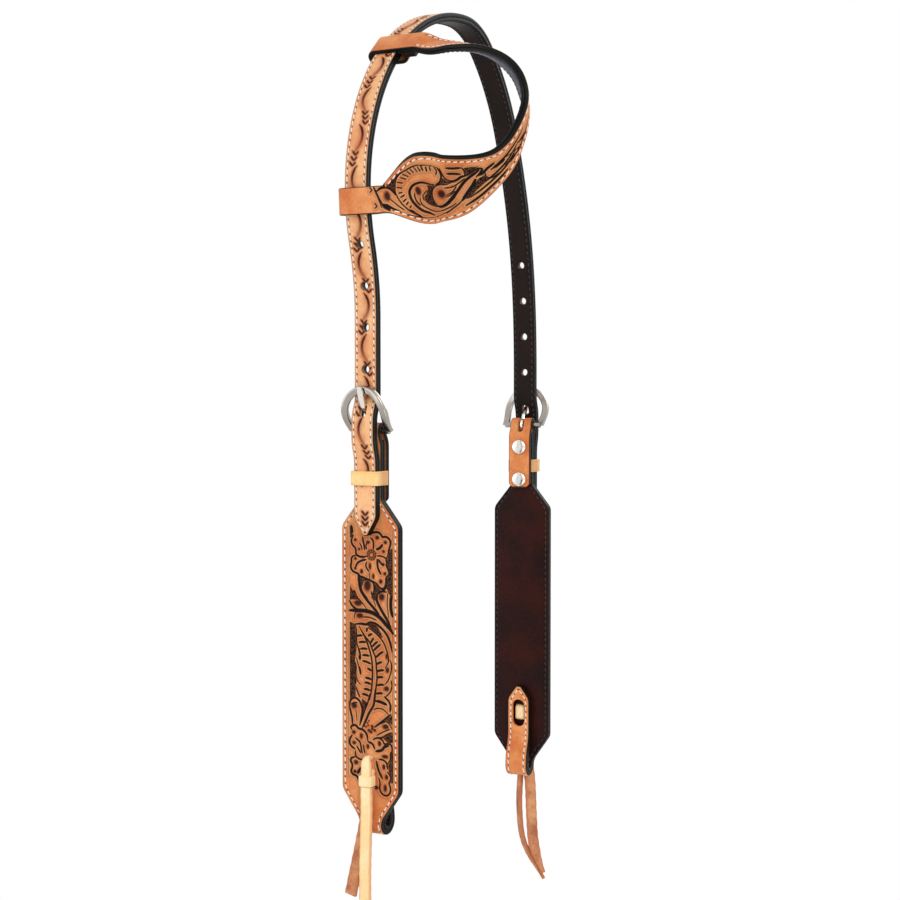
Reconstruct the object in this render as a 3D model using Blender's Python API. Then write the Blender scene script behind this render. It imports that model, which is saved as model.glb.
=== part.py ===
"""Western one-ear headstall in doubled leather, hanging by its crown.

The crown strap runs over the top and ends in two pointed billets. Each billet passes
through a horseshoe buckle on a wide tooled cheek, whose lower end folds into a bit loop
closed by a leather tie. A shaped ear piece slides on the near side of the crown.
Metres, +Z up, the front of the horse's head towards -Y, the near side towards -X.
The origin is on the underside of the crown's middle, where the headstall hangs.
"""

import math

import bmesh
import bpy
from mathutils import Vector

for leftover in list(bpy.data.objects):
    bpy.data.objects.remove(leftover, do_unlink=True)

# Leather stock and fits
OUTER_THICKNESS = 0.0027
LINING_THICKNESS = 0.0025
LAYER_GAP = 0.0003
EDGE_ROUND = 0.0005
FIT_GAP = 0.0003

# Crown strap
STRAP_WIDTH = 0.016
CROWN_TO_BAR = 0.271
NEAR_ARC_RADIUS = 0.1216
NEAR_ARC_TURN = math.radians(105.8)
NEAR_EASE_RADIUS = 0.165
FAR_SHOULDER_RADIUS = 0.046
FAR_SHOULDER_TURN = math.radians(41.2)
FAR_SIDE_RADIUS = 0.140
FAR_SIDE_TURN = math.radians(27.5)
FAR_EASE_RADIUS = 0.460
BILLET_POINT = 0.011
BILLET_TIP_WIDTH = 0.003
BILLET_BELOW_BAR = 0.064
BEND_ABOVE_BAR = 0.005
BEND_RUN = 0.017
BILLET_LEAN_DROP = 0.003
BILLET_LEAN_RUN = 0.018
HOLE_RADIUS = 0.0025
HOLE_PITCH = 0.0254
SPARE_HOLES = 4
FAR_TOE = math.radians(7)
TOE_START_DROP = 0.060
TOE_END_DROP = 0.235

# Cheek
CHEEK_WIDTH = 0.0413
NECK_TAPER_DROP = 0.0425
SHOULDER_DROP = 0.0585
LOWER_SHOULDER_DROP = 0.222
TAB_START_DROP = 0.240
FOLD_CENTRE_DROP = 0.2417
SHOULDER_CORNER = 0.003
NECK_CORNER = 0.004
TAB_CORNER = 0.012
BACK_LEG_DROP = 0.0443
BACK_LEG_CORNER = 0.0025
FOLD_LEAN = 0.003
FOLD_LEAN_RUN = 0.0100
BIT_VOID_RADIUS = 0.0028
TAB_RISE_RUN = 0.025
TAB_TIP_DROP = 0.186
TAB_POINT = 0.009

# Buckle
BAR_RADIUS = 0.002
BUCKLE_TILT = math.radians(21.5)
BUCKLE_LENGTH = 0.027
BUCKLE_ROUND = 0.015
BUCKLE_BOW = 0.0035
BUCKLE_HALF_WIDTH = 0.0140
BUCKLE_FOOT_HALF_WIDTH = 0.0130
RAIL_FACE = 0.0045
RAIL_THICKNESS = 0.003
RAIL_ROUND = 0.0008
FRAME_CLEARANCE = 0.0008
TONGUE_DIAMETER = 0.0028
TONGUE_PLAY = 0.0013
TONGUE_HOLE_EASE = 0.0007
TONGUE_RISE = 0.0070
TONGUE_KNEE = 0.0100
TONGUE_OVERHANG = 0.003
TONGUE_BEND = 0.003
TONGUE_SLOT_WIDTH = 0.0045
TONGUE_SLOT_DROP = 0.006

# Keeper and screws
KEEPER_THICKNESS = 0.0014
KEEPER_HEIGHT = 0.0088
KEEPER_DROP = 0.0290
KEEPER_CORNER = 0.0012
UPPER_SCREW_DROP = 0.0155
LOWER_SCREW_DROP = 0.0385
SCREW_HEAD_RADIUS = 0.005
SCREW_HEAD_HEIGHT = 0.0017
SCREW_DRIVE_WIDTH = 0.0012
SCREW_DRIVE_DEPTH = 0.0008
SHANK_RADIUS = 0.0015
POST_RADIUS = 0.0024
POST_WALL = 0.0007
POST_HEAD_RADIUS = 0.0045
POST_HEAD_HEIGHT = 0.001
POST_HEAD_SINK = 0.0002
METAL_EDGE = 0.0004

# Tie
THONG_WIDTH = 0.008
THONG_THICKNESS = 0.0022
TIE_UPPER_DROP = 0.2010
TIE_LOWER_DROP = 0.2098
TIE_BEND = 0.0016
TIE_ARCH = 0.0026
COLLAR_BELOW_TIE = 0.0017
COLLAR_HEIGHT = 0.007
COLLAR_WALL = 0.0015
COLLAR_CORNER = 0.0012
WINDOW_TOP_DROP = 0.1955
WINDOW_HEIGHT = 0.0194
WINDOW_WIDTH = 0.0096

# Tie tails: drop below the collar, way to the rear of the branch, way outwards
NEAR_FRONT_TAIL = [(0.000, 0.000, 0.0), (0.016, 0.000, 0.0), (0.033, 0.0005, 0.0),
                   (0.052, 0.001, 0.0), (0.0702, 0.001, 0.0)]
NEAR_BACK_TAIL = [(0.000, 0.000, 0.0), (0.016, 0.0015, 0.0), (0.033, 0.005, 0.0),
                  (0.052, 0.0095, 0.0), (0.0690, 0.0135, 0.0)]
FAR_FRONT_TAIL = [(0.000, 0.000, 0.0), (0.016, 0.002, 0.0), (0.036, 0.0042, 0.0),
                  (0.060, 0.0048, 0.0), (0.084, 0.0010, 0.0), (0.108, -0.0140, 0.0)]
FAR_BACK_TAIL = [(0.000, 0.000, 0.0), (0.018, -0.002, 0.0), (0.040, -0.0045, 0.0),
                 (0.064, -0.0056, 0.0), (0.084, -0.0075, 0.0), (0.103, -0.0144, 0.0)]

# Ear piece
EAR_OUTER_THICKNESS = 0.0024
EAR_LINING_THICKNESS = 0.0018
EAR_LOOP_WIDTH = 0.0165
EAR_WIDEST = 0.048
EAR_REACH = 0.1065
EAR_LOWER_TURN = math.radians(183.8)
EAR_UPPER_TURN = math.radians(133.3)
LOOP_CLEARANCE = 0.0006
LOOP_EDGE_CLEARANCE = 0.0004
LOOP_STRAIGHT = 0.021
LOOP_TAIL = 0.0045
LOOP_BEND_RUN = 0.007
LINING_SETBACK = 0.0009

# Ear piece line from the lower loop to the upper one. Shares of the reach, of the height
# and of the side way between the loops, the facing in degrees, share of the widest.
EAR_LINE_SHARES = [
    (0.409, 0.062, 0.248, 50, 1.00),
    (0.577, 0.082, 0.360, 48, 0.85),
    (0.803, 0.172, 0.400, 34, 0.49),
    (0.930, 0.296, 0.381, 6, 0.35),
    (1.000, 0.481, 0.381, -20, 0.34),
    (0.980, 0.622, 0.400, -34, 0.34),
    (0.883, 0.752, 0.510, -28, 0.34),
    (0.703, 0.866, 0.680, -6, 0.34),
    (0.503, 0.925, 0.840, 14, 0.34),
    (0.325, 0.955, 0.960, 32, 0.34),
]

# Smoothness of curved forms
WIDE_TURN_STEP = math.radians(5)
TIGHT_TURN_STEP = math.radians(22.5)
TIGHT_RADIUS = 0.030
CORNER_STEPS = 3
ROUND_SIDES = 16
WIRE_SIDES = 10
EAR_STEPS = 4
EAR_BANDS = 4
SHORTEST_STEP = 0.0004
CUT_OVERRUN = 0.001

# Sizes that follow from the ones above
STACK = OUTER_THICKNESS + LAYER_GAP + LINING_THICKNESS
HALF_GAP = LAYER_GAP / 2
STRAP_HALF = STRAP_WIDTH / 2
FOLD_INNER = (LINING_THICKNESS + KEEPER_THICKNESS + 3 * FIT_GAP) / 2
FOLD_OUTER = FOLD_INNER + OUTER_THICKNESS
GLUE_U = FOLD_INNER - HALF_GAP
LINING_INNER_U = FOLD_INNER - LAYER_GAP - LINING_THICKNESS
BILLET_INNER_U = FOLD_OUTER + FIT_GAP
BILLET_OUTER_U = BILLET_INNER_U + STACK
BILLET_GLUE_U = BILLET_INNER_U + LINING_THICKNESS + HALF_GAP
ROUND_END_INNER_U = ((BUCKLE_LENGTH - RAIL_FACE / 2) * math.sin(BUCKLE_TILT)
                     - RAIL_THICKNESS / 2 * math.cos(BUCKLE_TILT))
STRAP_SHIFT = BILLET_OUTER_U - (ROUND_END_INNER_U - FRAME_CLEARANCE)
STRAP_GLUE_U = BILLET_GLUE_U - STRAP_SHIFT
COLLAR_TOP_DROP = TIE_LOWER_DROP + COLLAR_BELOW_TIE
CROWN_GLUE_Z = LINING_THICKNESS + HALF_GAP
BAR_Z = STACK - CROWN_TO_BAR
BIT_CENTRE_U = LINING_INNER_U - BIT_VOID_RADIUS
TAB_OUTER_FACE_U = LINING_INNER_U - FIT_GAP

MATERIALS = {
    "tan_leather": ((0.84, 0.48, 0.23), 0.50, 0.0),
    "tooled_leather": ((0.60, 0.22, 0.06), 0.45, 0.0),
    "crown_lining": ((0.012, 0.006, 0.004), 0.60, 0.0),
    "cheek_lining": ((0.018, 0.005, 0.003), 0.55, 0.0),
    "ear_lining": ((0.010, 0.013, 0.024), 0.55, 0.0),
    "keeper_leather": ((0.90, 0.62, 0.26), 0.50, 0.0),
    "thong_leather": ((0.92, 0.68, 0.34), 0.60, 0.0),
    "satin_steel": ((0.42, 0.40, 0.38), 0.32, 1.0),
    "bright_steel": ((0.62, 0.60, 0.58), 0.22, 1.0),
}


class Path:
    """A flat line of straights and arcs, walked by its length."""

    def __init__(self, start, heading):
        self.pieces = []
        self.end = Vector(start)
        self.heading = heading
        self.length = 0.0

    def _add(self, length, bend):
        self.pieces.append((self.length, length, self.end.copy(), self.heading, bend))
        self.length += length
        self.end, self.heading = self.at(self.length)
        return self

    def straight(self, length):
        return self._add(length, 0.0)

    def arc(self, radius, turn):
        """A positive turn goes to the left."""
        return self._add(radius * abs(turn), math.copysign(1 / radius, turn))

    def shift(self, run, offset):
        """An S-bend that moves the line to the left by the offset."""
        turn = 2 * math.atan(offset / run)
        radius = run / (2 * math.sin(abs(turn)))
        return self.arc(radius, turn).arc(radius, -turn)

    def at(self, s):
        """The point and heading at a length along the line."""
        piece = self.pieces[0]
        for candidate in self.pieces:
            if candidate[0] <= s + SHORTEST_STEP / 100:
                piece = candidate
        start, _, point, heading, bend = piece
        run = s - start
        if bend == 0.0:
            step = Vector((math.cos(heading), math.sin(heading))) * run
            return point + step, heading
        turned = heading + bend * run
        step = Vector((math.sin(turned) - math.sin(heading),
                       math.cos(heading) - math.cos(turned))) / bend
        return point + step, turned

    def normal(self, s):
        """The unit vector to the left of the line."""
        heading = self.at(s)[1]
        return Vector((-math.sin(heading), math.cos(heading)))

    def steps(self):
        """Lengths at which a section is needed to keep arcs round."""
        found = [0.0, self.length]
        for start, length, _, _, bend in self.pieces:
            found.append(start)
            if bend != 0.0:
                tight = 1 / abs(bend) < TIGHT_RADIUS
                step = TIGHT_TURN_STEP if tight else WIDE_TURN_STEP
                count = max(2, math.ceil(length * abs(bend) / step))
                found += [start + length * k / count for k in range(1, count)]
        return found

    def find_height(self, height, low, high):
        """The length between two lengths at which the line passes a height."""
        rising = self.at(high)[0].y > self.at(low)[0].y
        for _ in range(50):
            middle = (low + high) / 2
            if (self.at(middle)[0].y < height) == rising:
                low = middle
            else:
                high = middle
        return (low + high) / 2


def walk(arcs):
    """How far a line goes out and down when it starts level and turns down."""
    line = Path((0.0, 0.0), 0.0)
    for radius, turn in arcs:
        line.arc(radius, -turn)
    return line.end.x, -line.end.y


def rounded(corners):
    """Points of an open outline whose corners (x, y, radius) are rounded."""
    points = [Vector(corners[0][:2])]
    for before, corner, after in zip(corners, corners[1:], corners[2:]):
        here = Vector(corner[:2])
        back = Vector(before[:2]) - here
        ahead = Vector(after[:2]) - here
        half = back.angle(ahead) / 2
        if corner[2] == 0.0 or math.pi / 2 - half < TIGHT_TURN_STEP / 20:
            points.append(here)
            continue
        reach = min(corner[2] / math.tan(half), back.length / 2, ahead.length / 2)
        radius = reach * math.tan(half)
        middle = (back.normalized() + ahead.normalized()).normalized()
        centre = here + middle * radius / math.sin(half)
        first = here + back.normalized() * reach - centre
        last = here + ahead.normalized() * reach - centre
        for k in range(CORNER_STEPS + 1):
            arm = first.slerp(last, k / CORNER_STEPS)
            points.append(centre + arm.normalized() * radius)
    points.append(Vector(corners[-1][:2]))
    return points


def width_at(outline, s):
    """Half-width of an outline of (length, half-width) points."""
    for a, b in zip(outline, outline[1:]):
        if s <= b.x:
            span = b.x - a.x
            share = (s - a.x) / span if span > 0 else 1.0
            return a.y + (b.y - a.y) * max(0.0, min(1.0, share))
    return outline[-1].y


def merged(lengths, low, high):
    """Sorted lengths inside a span, without any that nearly coincide."""
    kept = [low]
    for s in sorted(lengths):
        if low < s < high - SHORTEST_STEP and s - kept[-1] > SHORTEST_STEP:
            kept.append(s)
    return kept + [high]


def strap_section(half_width, inner, outer, bands=1):
    """(Across, through) points of a strap's section with eased edges."""
    ease = min(EDGE_ROUND, half_width / 3, (outer - inner) / 3)
    flat = half_width - ease
    across = [flat * (2 * k / bands - 1) for k in range(bands + 1)]
    return ([(a, inner) for a in across]
            + [(half_width, inner + ease), (half_width, outer - ease)]
            + [(a, outer) for a in reversed(across)]
            + [(-half_width, outer - ease), (-half_width, inner + ease)])


def ribbon_rings(path, outline, inner, outer, low, high, side=1):
    """Sections of a strap that follows a flat path; across is Y, the path is in XZ."""
    rings = []
    lengths = path.steps() + [p.x for p in outline]
    for s in merged(lengths, low, high):
        point = path.at(s)[0]
        normal = path.normal(s) * side
        ring = []
        for across, through in strap_section(width_at(outline, s), inner, outer):
            spot = point + normal * through
            ring.append(Vector((spot.x, across, spot.y)))
        rings.append(ring)
    return rings


def loft(bm, rings, wrap=False):
    """Skin rings of equal count; the ends are closed unless the loft wraps.

    Both broad sides of a strap are split along the same diagonals, so that layers that
    twist together keep their gap.
    """
    rows = [[bm.verts.new(p) for p in ring] for ring in rings]
    pairs = list(zip(rows, rows[1:]))
    if wrap:
        pairs.append((rows[-1], rows[0]))
    for a, b in pairs:
        count = len(a)
        for k in range(count):
            n = (k + 1) % count
            if k < count // 2:
                bm.faces.new((a[k], a[n], b[n]))
                bm.faces.new((a[k], b[n], b[k]))
            else:
                bm.faces.new((a[k], a[n], b[k]))
                bm.faces.new((a[n], b[n], b[k]))
    if not wrap:
        bm.faces.new(rows[0])
        bm.faces.new(rows[-1])
    return bm


def turned(bm, profile, height, sides=ROUND_SIDES):
    """A round form about a line along X at a height, from (x, radius) points."""
    rings = []
    for x, radius in profile:
        ring = []
        for k in range(sides):
            angle = 2 * math.pi * k / sides
            ring.append(Vector((x, radius * math.cos(angle),
                                height + radius * math.sin(angle))))
        rings.append(ring)
    return loft(bm, rings)


def rounded_box_outline(half_a, half_b, radius, centre=(0.0, 0.0), steps=CORNER_STEPS):
    """A closed outline of a rectangle with round corners."""
    points = []
    for sign_a, sign_b, start in ((1, 1, 0), (-1, 1, 1), (-1, -1, 2), (1, -1, 3)):
        for k in range(steps + 1):
            angle = math.pi / 2 * (start + k / steps)
            points.append((centre[0] + sign_a * (half_a - radius) + radius * math.cos(angle),
                           centre[1] + sign_b * (half_b - radius) + radius * math.sin(angle)))
    return points


def slot_prism(bm, u_low, u_high, half_width, half_height, radius, height):
    """A rounded prism along X that cuts a slot in the cheek."""
    outline = rounded_box_outline(half_width, half_height, radius, (0.0, height),
                                  2 * CORNER_STEPS)
    return loft(bm, [[Vector((u, y, z)) for y, z in outline] for u in (u_low, u_high)])


def material(name):
    """The named surface, made once."""
    if name in bpy.data.materials:
        return bpy.data.materials[name]
    colour, roughness, metallic = MATERIALS[name]
    made = bpy.data.materials.new(name)
    made.use_nodes = True
    shader = made.node_tree.nodes["Principled BSDF"]
    shader.inputs["Base Color"].default_value = (*colour, 1.0)
    shader.inputs["Roughness"].default_value = roughness
    shader.inputs["Metallic"].default_value = metallic
    return made


def add_object(name, bm, surface=None, parent=None):
    """Turn a finished bmesh into an object; one without a surface is a hidden tool."""
    bmesh.ops.recalc_face_normals(bm, faces=bm.faces)
    mesh = bpy.data.meshes.new(name)
    bm.to_mesh(mesh)
    bm.free()
    made = bpy.data.objects.new(name, mesh)
    bpy.context.scene.collection.objects.link(made)
    made.parent = parent
    if surface is None:
        made.hide_render = True
        made.display_type = "WIRE"
    else:
        mesh.materials.append(material(surface))
        mesh.shade_smooth()
        mesh.set_sharp_from_angle(angle=math.radians(35))
    return made


def add_empty(name, location, turn):
    made = bpy.data.objects.new(name, None)
    bpy.context.scene.collection.objects.link(made)
    made.location = location
    made.rotation_euler = (0.0, 0.0, turn)
    return made


def combine(target, tool, operation):
    step = target.modifiers.new(tool.name, "BOOLEAN")
    step.operation = operation
    step.solver = "EXACT"
    step.object = tool
    return target


# Crown strap: one line from the near billet's tip over the top to the far one's
near_arcs = [(NEAR_ARC_RADIUS, NEAR_ARC_TURN),
             (NEAR_EASE_RADIUS, math.pi / 2 - NEAR_ARC_TURN)]
far_ease_turn = math.pi / 2 - FAR_SHOULDER_TURN - FAR_SIDE_TURN
far_arcs = [(FAR_SHOULDER_RADIUS, FAR_SHOULDER_TURN), (FAR_SIDE_RADIUS, FAR_SIDE_TURN),
            (FAR_EASE_RADIUS, far_ease_turn)]
near_out, near_down = walk(near_arcs)
far_out, far_down = walk(far_arcs)
NEAR_CHEEK_X = STRAP_GLUE_U + FOLD_LEAN - near_out
FAR_CHEEK_X = far_out - STRAP_GLUE_U - FOLD_LEAN
drop_to_bend = CROWN_GLUE_Z - BAR_Z - BEND_ABOVE_BAR - BEND_RUN
billet_end = BILLET_BELOW_BAR - BILLET_LEAN_DROP - BILLET_LEAN_RUN

crown = Path((NEAR_CHEEK_X - BILLET_GLUE_U, BAR_Z - BILLET_BELOW_BAR), math.pi / 2)
crown.straight(billet_end)
crown.shift(BILLET_LEAN_RUN, FOLD_LEAN)
crown.straight(BILLET_LEAN_DROP + BEND_ABOVE_BAR)
near_bend_start = crown.length
crown.shift(BEND_RUN, -STRAP_SHIFT)
near_bend_end = crown.length
crown.straight(drop_to_bend - near_down)
for arc_radius, arc_turn in reversed(near_arcs):
    crown.arc(arc_radius, -arc_turn)
for arc_radius, arc_turn in far_arcs:
    crown.arc(arc_radius, -arc_turn)
crown.straight(drop_to_bend - far_down)
far_bend_start = crown.length
crown.shift(BEND_RUN, STRAP_SHIFT)
far_bend_end = crown.length
crown.straight(BILLET_LEAN_DROP + BEND_ABOVE_BAR)
crown.shift(BILLET_LEAN_RUN, -FOLD_LEAN)
crown.straight(billet_end)

billet_outline = rounded([
    (0.0, BILLET_TIP_WIDTH / 2, 0.0),
    (BILLET_POINT, STRAP_HALF, STRAP_HALF),
    (crown.length - BILLET_POINT, STRAP_HALF, STRAP_HALF),
    (crown.length, BILLET_TIP_WIDTH / 2, 0.0)])


def toed(point):
    """Turn the far branch of the crown about the upright through its cheek."""
    if point.x < 0.0:
        return point
    top = STACK - TOE_START_DROP
    share = max(0.0, min(1.0, (top - point.z) / (TOE_END_DROP - TOE_START_DROP)))
    angle = FAR_TOE * share * share * (3 - 2 * share)
    arm = point.x - FAR_CHEEK_X
    return Vector((FAR_CHEEK_X + arm * math.cos(angle) - point.y * math.sin(angle),
                   arm * math.sin(angle) + point.y * math.cos(angle), point.z))


def add_crown_layer(name, inner, outer, surface):
    rings = ribbon_rings(crown, billet_outline, inner, outer, 0.0, crown.length)
    rings = [[toed(p) for p in ring] for ring in rings]
    return add_object(name, loft(bmesh.new(), rings), surface)


crown_outer = add_crown_layer("crown_strap_outer", HALF_GAP, HALF_GAP + OUTER_THICKNESS,
                              "tan_leather")
crown_lining = add_crown_layer("crown_strap_lining", -HALF_GAP - LINING_THICKNESS,
                               -HALF_GAP, "crown_lining")

# Tongue line in the branch's frame: eye, knee behind the strap, knee past it, tip
tongue_radius = TONGUE_DIAMETER / 2
eye_radius = BAR_RADIUS + FIT_GAP + tongue_radius
along_frame = Vector((math.sin(BUCKLE_TILT), math.cos(BUCKLE_TILT)))
off_frame = Vector((math.cos(BUCKLE_TILT), -math.sin(BUCKLE_TILT)))
rest_height = RAIL_THICKNESS / 2 + FIT_GAP + tongue_radius
tongue_rest = along_frame * BUCKLE_LENGTH + off_frame * rest_height
tongue_knee = tongue_rest - along_frame * TONGUE_KNEE
tongue_start = Vector((0.0, eye_radius))
tongue_low = Vector((tongue_radius, TONGUE_RISE))
tongue_tip = tongue_rest + along_frame * TONGUE_OVERHANG
tongue_slope = (tongue_knee - tongue_low).normalized()


def hole_prism(bm, s, half_tall, slip):
    """A rounded prism through the crown strap, slipped along it from a length."""
    centre, _ = crown.at(s)
    normal = crown.normal(s)
    along = Vector((normal.y, -normal.x))
    centre = centre + along * slip
    outline = rounded_box_outline(HOLE_RADIUS, half_tall, HOLE_RADIUS, (0.0, 0.0),
                                  CORNER_STEPS)
    rings = []
    for through in (-STACK / 2 - CUT_OVERRUN, STACK / 2 + CUT_OVERRUN):
        ring = []
        for y, tall in outline:
            spot = centre + normal * through + along * tall
            ring.append(toed(Vector((spot.x, y, spot.y))))
        rings.append(ring)
    return loft(bm, rings)


def tongue_hole(bm, low, high, bar_x, out):
    """The long hole that the slanting tongue passes through."""
    crossing = BAR_Z + tongue_low.y + tongue_slope.y * (
        (BILLET_GLUE_U - STRAP_SHIFT / 4 - tongue_low.x) / tongue_slope.x)
    s = crown.find_height(crossing, low, high)
    normal = crown.normal(s)
    lean = math.atan2(tongue_slope.y, tongue_slope.x) - math.atan2(normal.y, out * normal.x)
    tall = (TONGUE_DIAMETER / math.cos(lean) + STACK * math.tan(abs(lean))
            + 2 * TONGUE_HOLE_EASE + TONGUE_PLAY)
    along_up = Vector((normal.y, -normal.x)).y
    slip = math.copysign(TONGUE_PLAY / 2, -along_up)
    point = crown.at(s)[0]
    meet = tongue_low.y + tongue_slope.y * (
        (out * (point.x - bar_x) - tongue_low.x) / tongue_slope.x)
    slip += (meet + BAR_Z - point.y) / along_up * math.cos(lean)
    hole_prism(bm, s, tall / 2, slip)
    return s


holes = bmesh.new()
near_hole = tongue_hole(holes, near_bend_start, near_bend_end,
                        NEAR_CHEEK_X - FOLD_LEAN, -1)
far_hole = tongue_hole(holes, far_bend_start, far_bend_end, FAR_CHEEK_X + FOLD_LEAN, 1)
for k in range(1, SPARE_HOLES + 1):
    hole_prism(holes, near_hole + k * HOLE_PITCH, HOLE_RADIUS, 0.0)
    hole_prism(holes, far_hole - k * HOLE_PITCH, HOLE_RADIUS, 0.0)
hole_cutter = add_object("crown_hole_cutter", holes)
combine(crown_outer, hole_cutter, "DIFFERENCE")
combine(crown_lining, hole_cutter, "DIFFERENCE")

# Ear piece: loops round the near side of the crown, joined by a shaped band
arc_centre_z = CROWN_GLUE_Z - NEAR_ARC_RADIUS
strap_out = HALF_GAP + OUTER_THICKNESS
strap_in = HALF_GAP + LINING_THICKNESS
ear_glue = strap_out + LOOP_CLEARANCE - HALF_GAP
ear_behind = -strap_in - LOOP_CLEARANCE + HALF_GAP
loop_radius = (ear_glue - ear_behind) / 2
loop_mid = (ear_glue + ear_behind) / 2
corner_reach = max(strap_out - loop_mid, strap_in + loop_mid)
bow_centre = STRAP_HALF - math.sqrt(
    (loop_radius + HALF_GAP - LOOP_EDGE_CLEARANCE) ** 2 - corner_reach ** 2)
tail_glue = ear_glue - HALF_GAP - EAR_LINING_THICKNESS - FIT_GAP


def loop_path():
    """The loop's line seen along the strap: tail end, behind, round the rear edge."""
    line = Path((-LOOP_STRAIGHT, tail_glue), 0.0)
    line.straight(LOOP_TAIL)
    line.shift(LOOP_BEND_RUN, ear_behind - tail_glue)
    line.straight(bow_centre - line.end.x)
    line.arc(loop_radius, math.pi)
    line.straight(bow_centre + LOOP_STRAIGHT)
    return line


def on_loop(turn, spot):
    """A point at (along Y, off the glue line) at a place on the near arc."""
    reach = NEAR_ARC_RADIUS + spot.y
    return Vector((reach * math.cos(turn), spot.x, arc_centre_z + reach * math.sin(turn)))


def loop_stations(turn, first):
    """Sections (point, direction, normal, half-width) of one loop, tail first."""
    line = loop_path()
    radial = Vector((math.cos(turn), 0.0, math.sin(turn)))
    stations = []
    for s in merged(line.steps(), 0.0, line.length):
        spot, heading = line.at(s)
        right = -line.normal(s)
        direction = Vector((0.0, math.cos(heading), 0.0)) + radial * math.sin(heading)
        normal = Vector((0.0, right.x, 0.0)) + radial * right.y
        sign = 1 if first else -1
        stations.append((on_loop(turn, spot), direction * sign, normal, EAR_LOOP_WIDTH / 2))
    return stations if first else stations[::-1]


def smooth_mix(a, b, c, d, t):
    """A value on the smooth curve through b and c."""
    return (b * 2 + (c - a) * t + (a * 2 - b * 5 + c * 4 - d) * t * t
            + (b * 3 - a - c * 3 + d) * t * t * t) * 0.5


def band_stations():
    """Sections of the shaped band between the ends of the two loops' straights."""
    low = on_loop(EAR_LOWER_TURN, Vector((-LOOP_STRAIGHT, ear_glue)))
    high = on_loop(EAR_UPPER_TURN, Vector((-LOOP_STRAIGHT, ear_glue)))
    step = Vector((0.0, LOOP_STRAIGHT / 2, 0.0))
    half = EAR_LOOP_WIDTH / 2
    low_facing = 1.5 * math.pi - EAR_LOWER_TURN
    high_facing = EAR_UPPER_TURN - math.pi / 2
    rows = [(low + step, low_facing, half), (low, low_facing, half)]
    for reach, rise, side, facing, width in EAR_LINE_SHARES:
        spot = Vector((low.x + side * (high.x - low.x), -reach * EAR_REACH,
                       low.z + rise * (high.z - low.z)))
        rows.append((spot, math.radians(facing), width * EAR_WIDEST / 2))
    rows += [(high, high_facing, half), (high + step, high_facing, half)]
    stations = []
    for index in range(1, len(rows) - 2):
        four = rows[index - 1:index + 3]
        for k in range(1 if index == 1 else 0, EAR_STEPS):
            t = k / EAR_STEPS
            spot, facing, width = (smooth_mix(*[row[i] for row in four], t)
                                   for i in range(3))
            ahead = smooth_mix(*[row[0] for row in four], t + SHORTEST_STEP)
            direction = (ahead - spot).normalized()
            outward = Vector((0.0, -direction.z, direction.y)).normalized()
            normal = outward * math.cos(facing) - Vector((1, 0, 0)) * math.sin(facing)
            normal = (normal - direction * normal.dot(direction)).normalized()
            stations.append((spot, direction, normal, width))
    return stations


def station_rings(stations, inner, outer):
    rings = []
    for spot, direction, normal, half_width in stations:
        across = direction.cross(normal).normalized()
        rings.append([spot + across * a + normal * n
                      for a, n in strap_section(half_width, inner, outer, EAR_BANDS)])
    return rings


lower_loop = loop_stations(EAR_LOWER_TURN, True)
upper_loop = loop_stations(EAR_UPPER_TURN, False)
band = band_stations()
add_object("ear_piece_outer",
           loft(bmesh.new(), station_rings(lower_loop + band + upper_loop, HALF_GAP,
                                           HALF_GAP + EAR_OUTER_THICKNESS)),
           "tooled_leather")


def straight_end(turn, y, sign):
    radial = Vector((math.cos(turn), 0.0, math.sin(turn)))
    return (on_loop(turn, Vector((y, ear_glue))), Vector((0.0, sign, 0.0)), radial,
            EAR_LOOP_WIDTH / 2)


lining_edge = -STRAP_HALF - LINING_SETBACK
lining_stations = (
    [straight_end(EAR_LOWER_TURN, lining_edge, -1),
     straight_end(EAR_LOWER_TURN, -LOOP_STRAIGHT, -1)]
    + band
    + [straight_end(EAR_UPPER_TURN, -LOOP_STRAIGHT, 1),
       straight_end(EAR_UPPER_TURN, lining_edge, 1)])
add_object("ear_piece_lining",
           loft(bmesh.new(), station_rings(lining_stations,
                                           -HALF_GAP - EAR_LINING_THICKNESS, -HALF_GAP)),
           "ear_lining")

# Cheek line in a branch's frame: back leg up, over the bar, down, bit fold, tab up
cheek = Path((-GLUE_U, -BACK_LEG_DROP), math.pi / 2)
cheek.straight(BACK_LEG_DROP - FOLD_LEAN_RUN)
cheek.shift(FOLD_LEAN_RUN, -FOLD_LEAN)
cheek.arc(GLUE_U, -math.pi)
fold_top = cheek.length
cheek.shift(FOLD_LEAN_RUN, -FOLD_LEAN)
front_start = cheek.length - FOLD_LEAN_RUN
cheek.straight(FOLD_CENTRE_DROP - FOLD_LEAN_RUN)
cheek.arc(GLUE_U - BIT_CENTRE_U, -math.pi)
tab_glue_u = TAB_OUTER_FACE_U - LINING_THICKNESS - HALF_GAP
cheek.shift(TAB_RISE_RUN, cheek.end.x - tab_glue_u)
cheek.straight(-TAB_TIP_DROP - cheek.end.y)

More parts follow.
